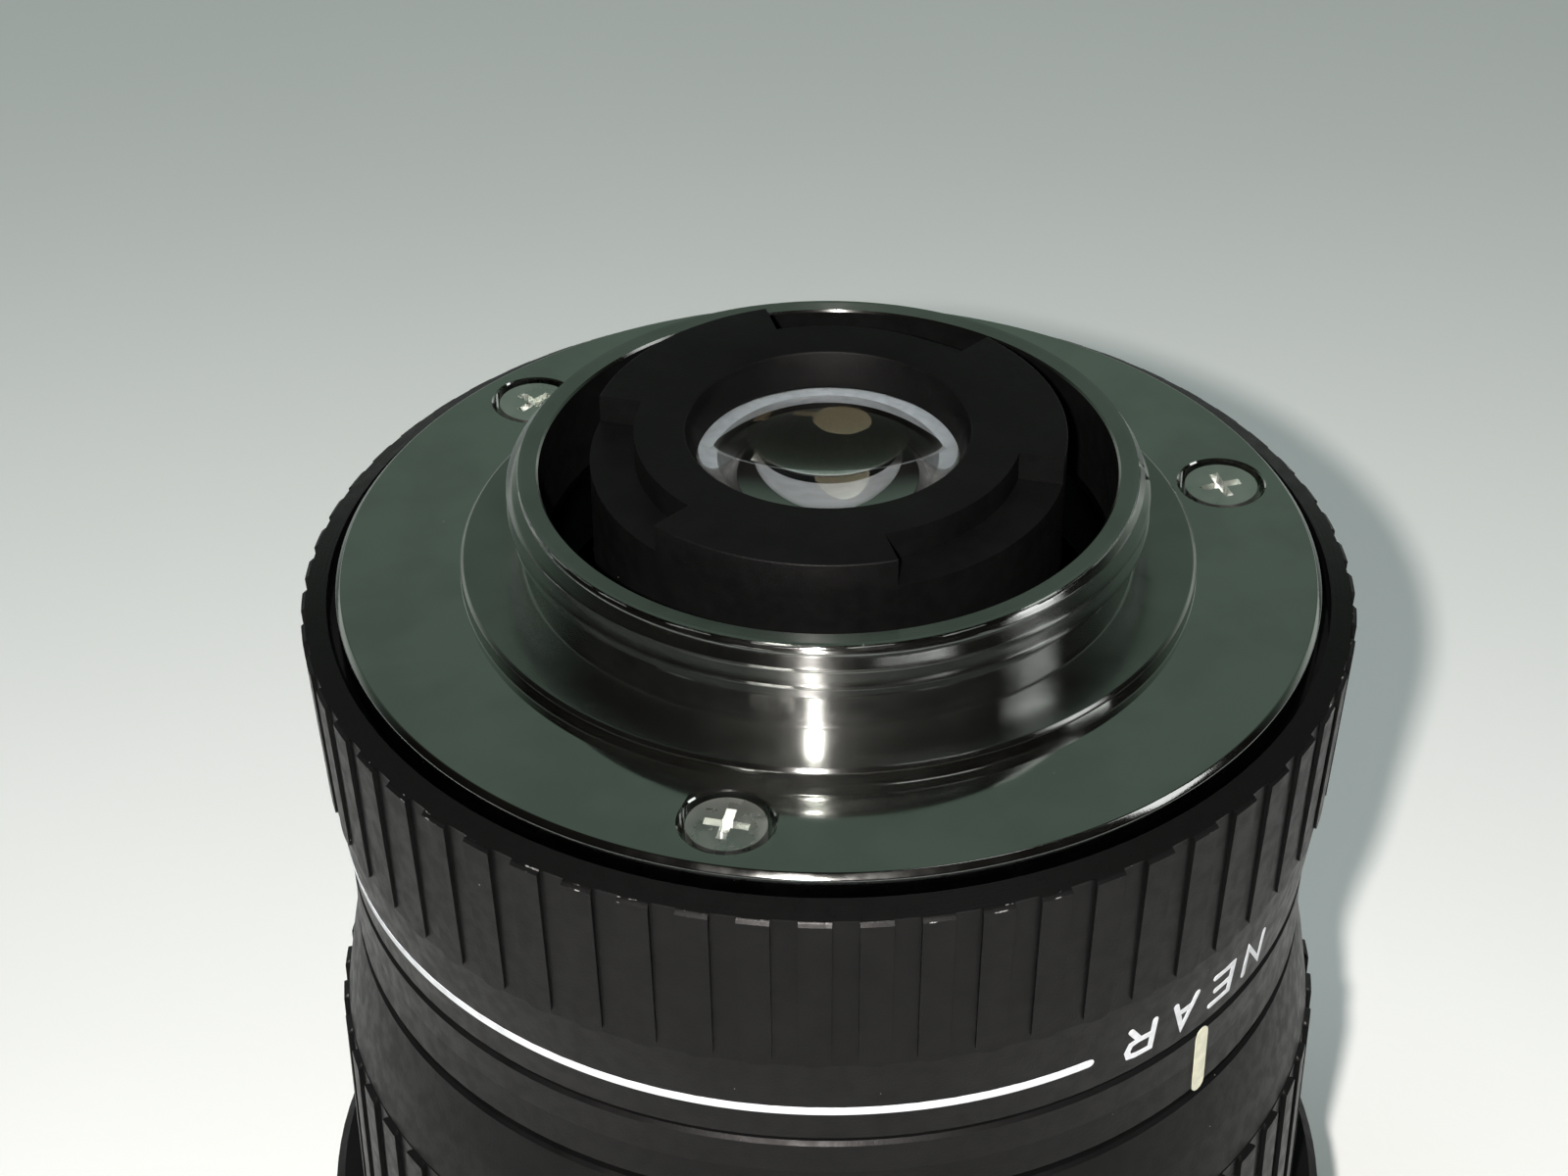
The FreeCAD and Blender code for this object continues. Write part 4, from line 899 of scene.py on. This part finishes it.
def make_prints():
    """The control words at the ends of each ring's scale, the line between them and the fixed index."""
    near = word_strokes("NEAR", **FOCUS_LETTERS)
    far = word_strokes("FAR", **FOCUS_LETTERS)
    opened = word_strokes("OPEN", advance=2.75, **IRIS_LETTERS)
    closed = word_strokes("CLOSE", advance=2.6, **IRIS_LETTERS)
    index = [[(0, -INDEX_HALF_LENGTH), (0, INDEX_HALF_LENGTH)]]
    print_on_focus_ring("word_near", near, STROKE, azimuth=-45.2)
    print_on_focus_ring("word_far", far, STROKE, azimuth=165.9)
    print_on_focus_ring("focus_line", arc_strokes(length=41.8), width=0.4, azimuth=-61.75)
    print_on_iris_ring("word_open", opened, STROKE, azimuth=-41.9, height=IRIS_WORD_HEIGHT)
    print_on_iris_ring("word_close", closed, STROKE, azimuth=15.9, height=IRIS_WORD_HEIGHT)
    print_on_iris_ring(
        "iris_line", arc_strokes(length=8.0), width=0.3, azimuth=-6.5, height=IRIS_LINE_HEIGHT
    )
    add_print(
        "index_line", index, INDEX_WIDTH, CREAM, "barrel", INDEX_AZIMUTH, INDEX_HEIGHT, waist
    )


make_prints()


# Table, surroundings and lamps, in metres

TABLE_REACH = 4.0
# Painted shade on the table: darker near the camera and far from it
TABLE_NEAR_PAINTED_SHADE = (0.52, 0.53, 0.52, 1)
TABLE_MIDDLE = (0.93, 0.94, 0.925, 1)
TABLE_FAR_PAINTED_SHADE = (0.68, 0.71, 0.68, 1)
TABLE_CLOUD = (0.97, 0.97, 0.97, 1)
PURE_WHITE = (1.0, 1.0, 1.0, 1)
NEAR_PAINTED_SHADE_FADE = (-0.10, 0.0)
FAR_PAINTED_SHADE_FADE = (0.02, 0.15)

# Shades of the surroundings from the horizon up, and the far side's share across them

FAR_SIDE = ((0.05, (0.55, 0.58, 0.55)), (0.3, (0.115, 0.157, 0.127)), (1.0, (0.09, 0.12, 0.1)))
NEAR_SIDE = ((0.0, (0.10, 0.10, 0.09)), (0.12, (0.006, 0.005, 0.004)), (1.0, (0.015, 0.014, 0.012)))
FAR_SHARE = ((0.58, (0.0, 0.0, 0.0)), (0.82, (1.0, 1.0, 1.0)))


def make_floor():
    """A matt table, palest in the middle, with painted shade that darkens it both away from the camera and
    towards it.
    """
    mesh = bpy.data.meshes.new("table_top")
    corners = [(x * TABLE_REACH, y * TABLE_REACH, 0) for x, y in ((-1, -1), (1, -1), (1, 1), (-1, 1))]
    mesh.from_pydata(corners, [], [(0, 1, 2, 3)])
    floor = bpy.data.objects.new("table_top", mesh)
    bpy.context.scene.collection.objects.link(floor)
    finish = Finish("pale_table")
    away = finish.add("ShaderNodeSeparateXYZ", {0: finish.point}).outputs[1]
    # Painted shade: darker away from the camera, where the flash's light falls off, and towards it, against
    # the flash's pool of light
    shade = finish.mix(finish.between(away, *FAR_PAINTED_SHADE_FADE), TABLE_MIDDLE, TABLE_FAR_PAINTED_SHADE)
    shade = finish.mix(finish.between(away, *NEAR_PAINTED_SHADE_FADE), TABLE_NEAR_PAINTED_SHADE, shade)
    cloud = finish.mix(finish.noise(scale=40, detail=3.0), TABLE_CLOUD, PURE_WHITE)
    finish.surface(Base_Color=finish.mix(1.0, shade, cloud, "MULTIPLY"), Roughness=0.8)
    finish.bump(finish.noise(scale=900, detail=3.0), depth=0.02)
    mesh.materials.append(finish.material)


def make_surroundings():
    """Pale near the horizon, grey-green above on the far side and nearly black on the camera's side."""
    world = bpy.data.worlds.new("surroundings")
    bpy.context.scene.world = world
    world.use_nodes = True
    tree = Tree(world.node_tree)
    direction = tree.add("ShaderNodeTexCoord", {}).outputs["Generated"]
    _, away, up = tree.add("ShaderNodeSeparateXYZ", {0: direction}).outputs
    share = tree.ramp(tree.math("MULTIPLY_ADD", away, 0.5, 0.5), FAR_SHARE)
    blend = tree.mix(share, tree.ramp(up, NEAR_SIDE), tree.ramp(up, FAR_SIDE))
    tree.put(world.node_tree.nodes["Background"].inputs[0], blend)


def lamp(name, place, target, size, power, size_y=None, colour=(1, 1, 1), mirrored=True):
    """A disk, or a rectangle where size_y is given; mirrored says whether glossy surfaces show it."""
    data = bpy.data.lights.new(name, "AREA")
    data.shape = "DISK"
    data.size = size
    if size_y:
        data.shape = "RECTANGLE"
        data.size_y = size_y
    data.energy = power
    data.color = colour
    light = bpy.data.objects.new(name, data)
    light.location = Vector(place)
    light.rotation_euler = (Vector(target) - Vector(place)).to_track_quat("-Z", "Y").to_euler()
    light.visible_glossy = mirrored
    bpy.context.scene.collection.objects.link(light)


def make_lamps():
    """A small warm flash beside the camera, a wide cool lamp above, and two panes that the chrome mirrors."""
    warm = (1.06, 0.99, 0.95)
    cool = (0.90, 1.02, 1.04)
    beside_camera = (-0.0100, -0.106, 0.124)
    overhead = (-0.12, 0.05, 0.75)
    mount = (0, 0, 0.05)
    lamp("key", beside_camera, target=(0, 0.01, 0.03), size=0.004, power=0.31, colour=warm)
    lamp("top", overhead, target=(0, 0, 0.03), size=0.5, power=1.95, colour=cool, mirrored=False)
    lamp("ceiling", place=(0.13, -0.03, 0.50), target=mount, size=0.05, power=0.035, size_y=0.12)
    lamp("window", place=(0.474, -0.072, 0.41), target=mount, size=0.15, power=0.16, size_y=0.2)


make_floor()
make_surroundings()
make_lamps()
bpy.context.scene.view_settings.view_transform = "Standard"
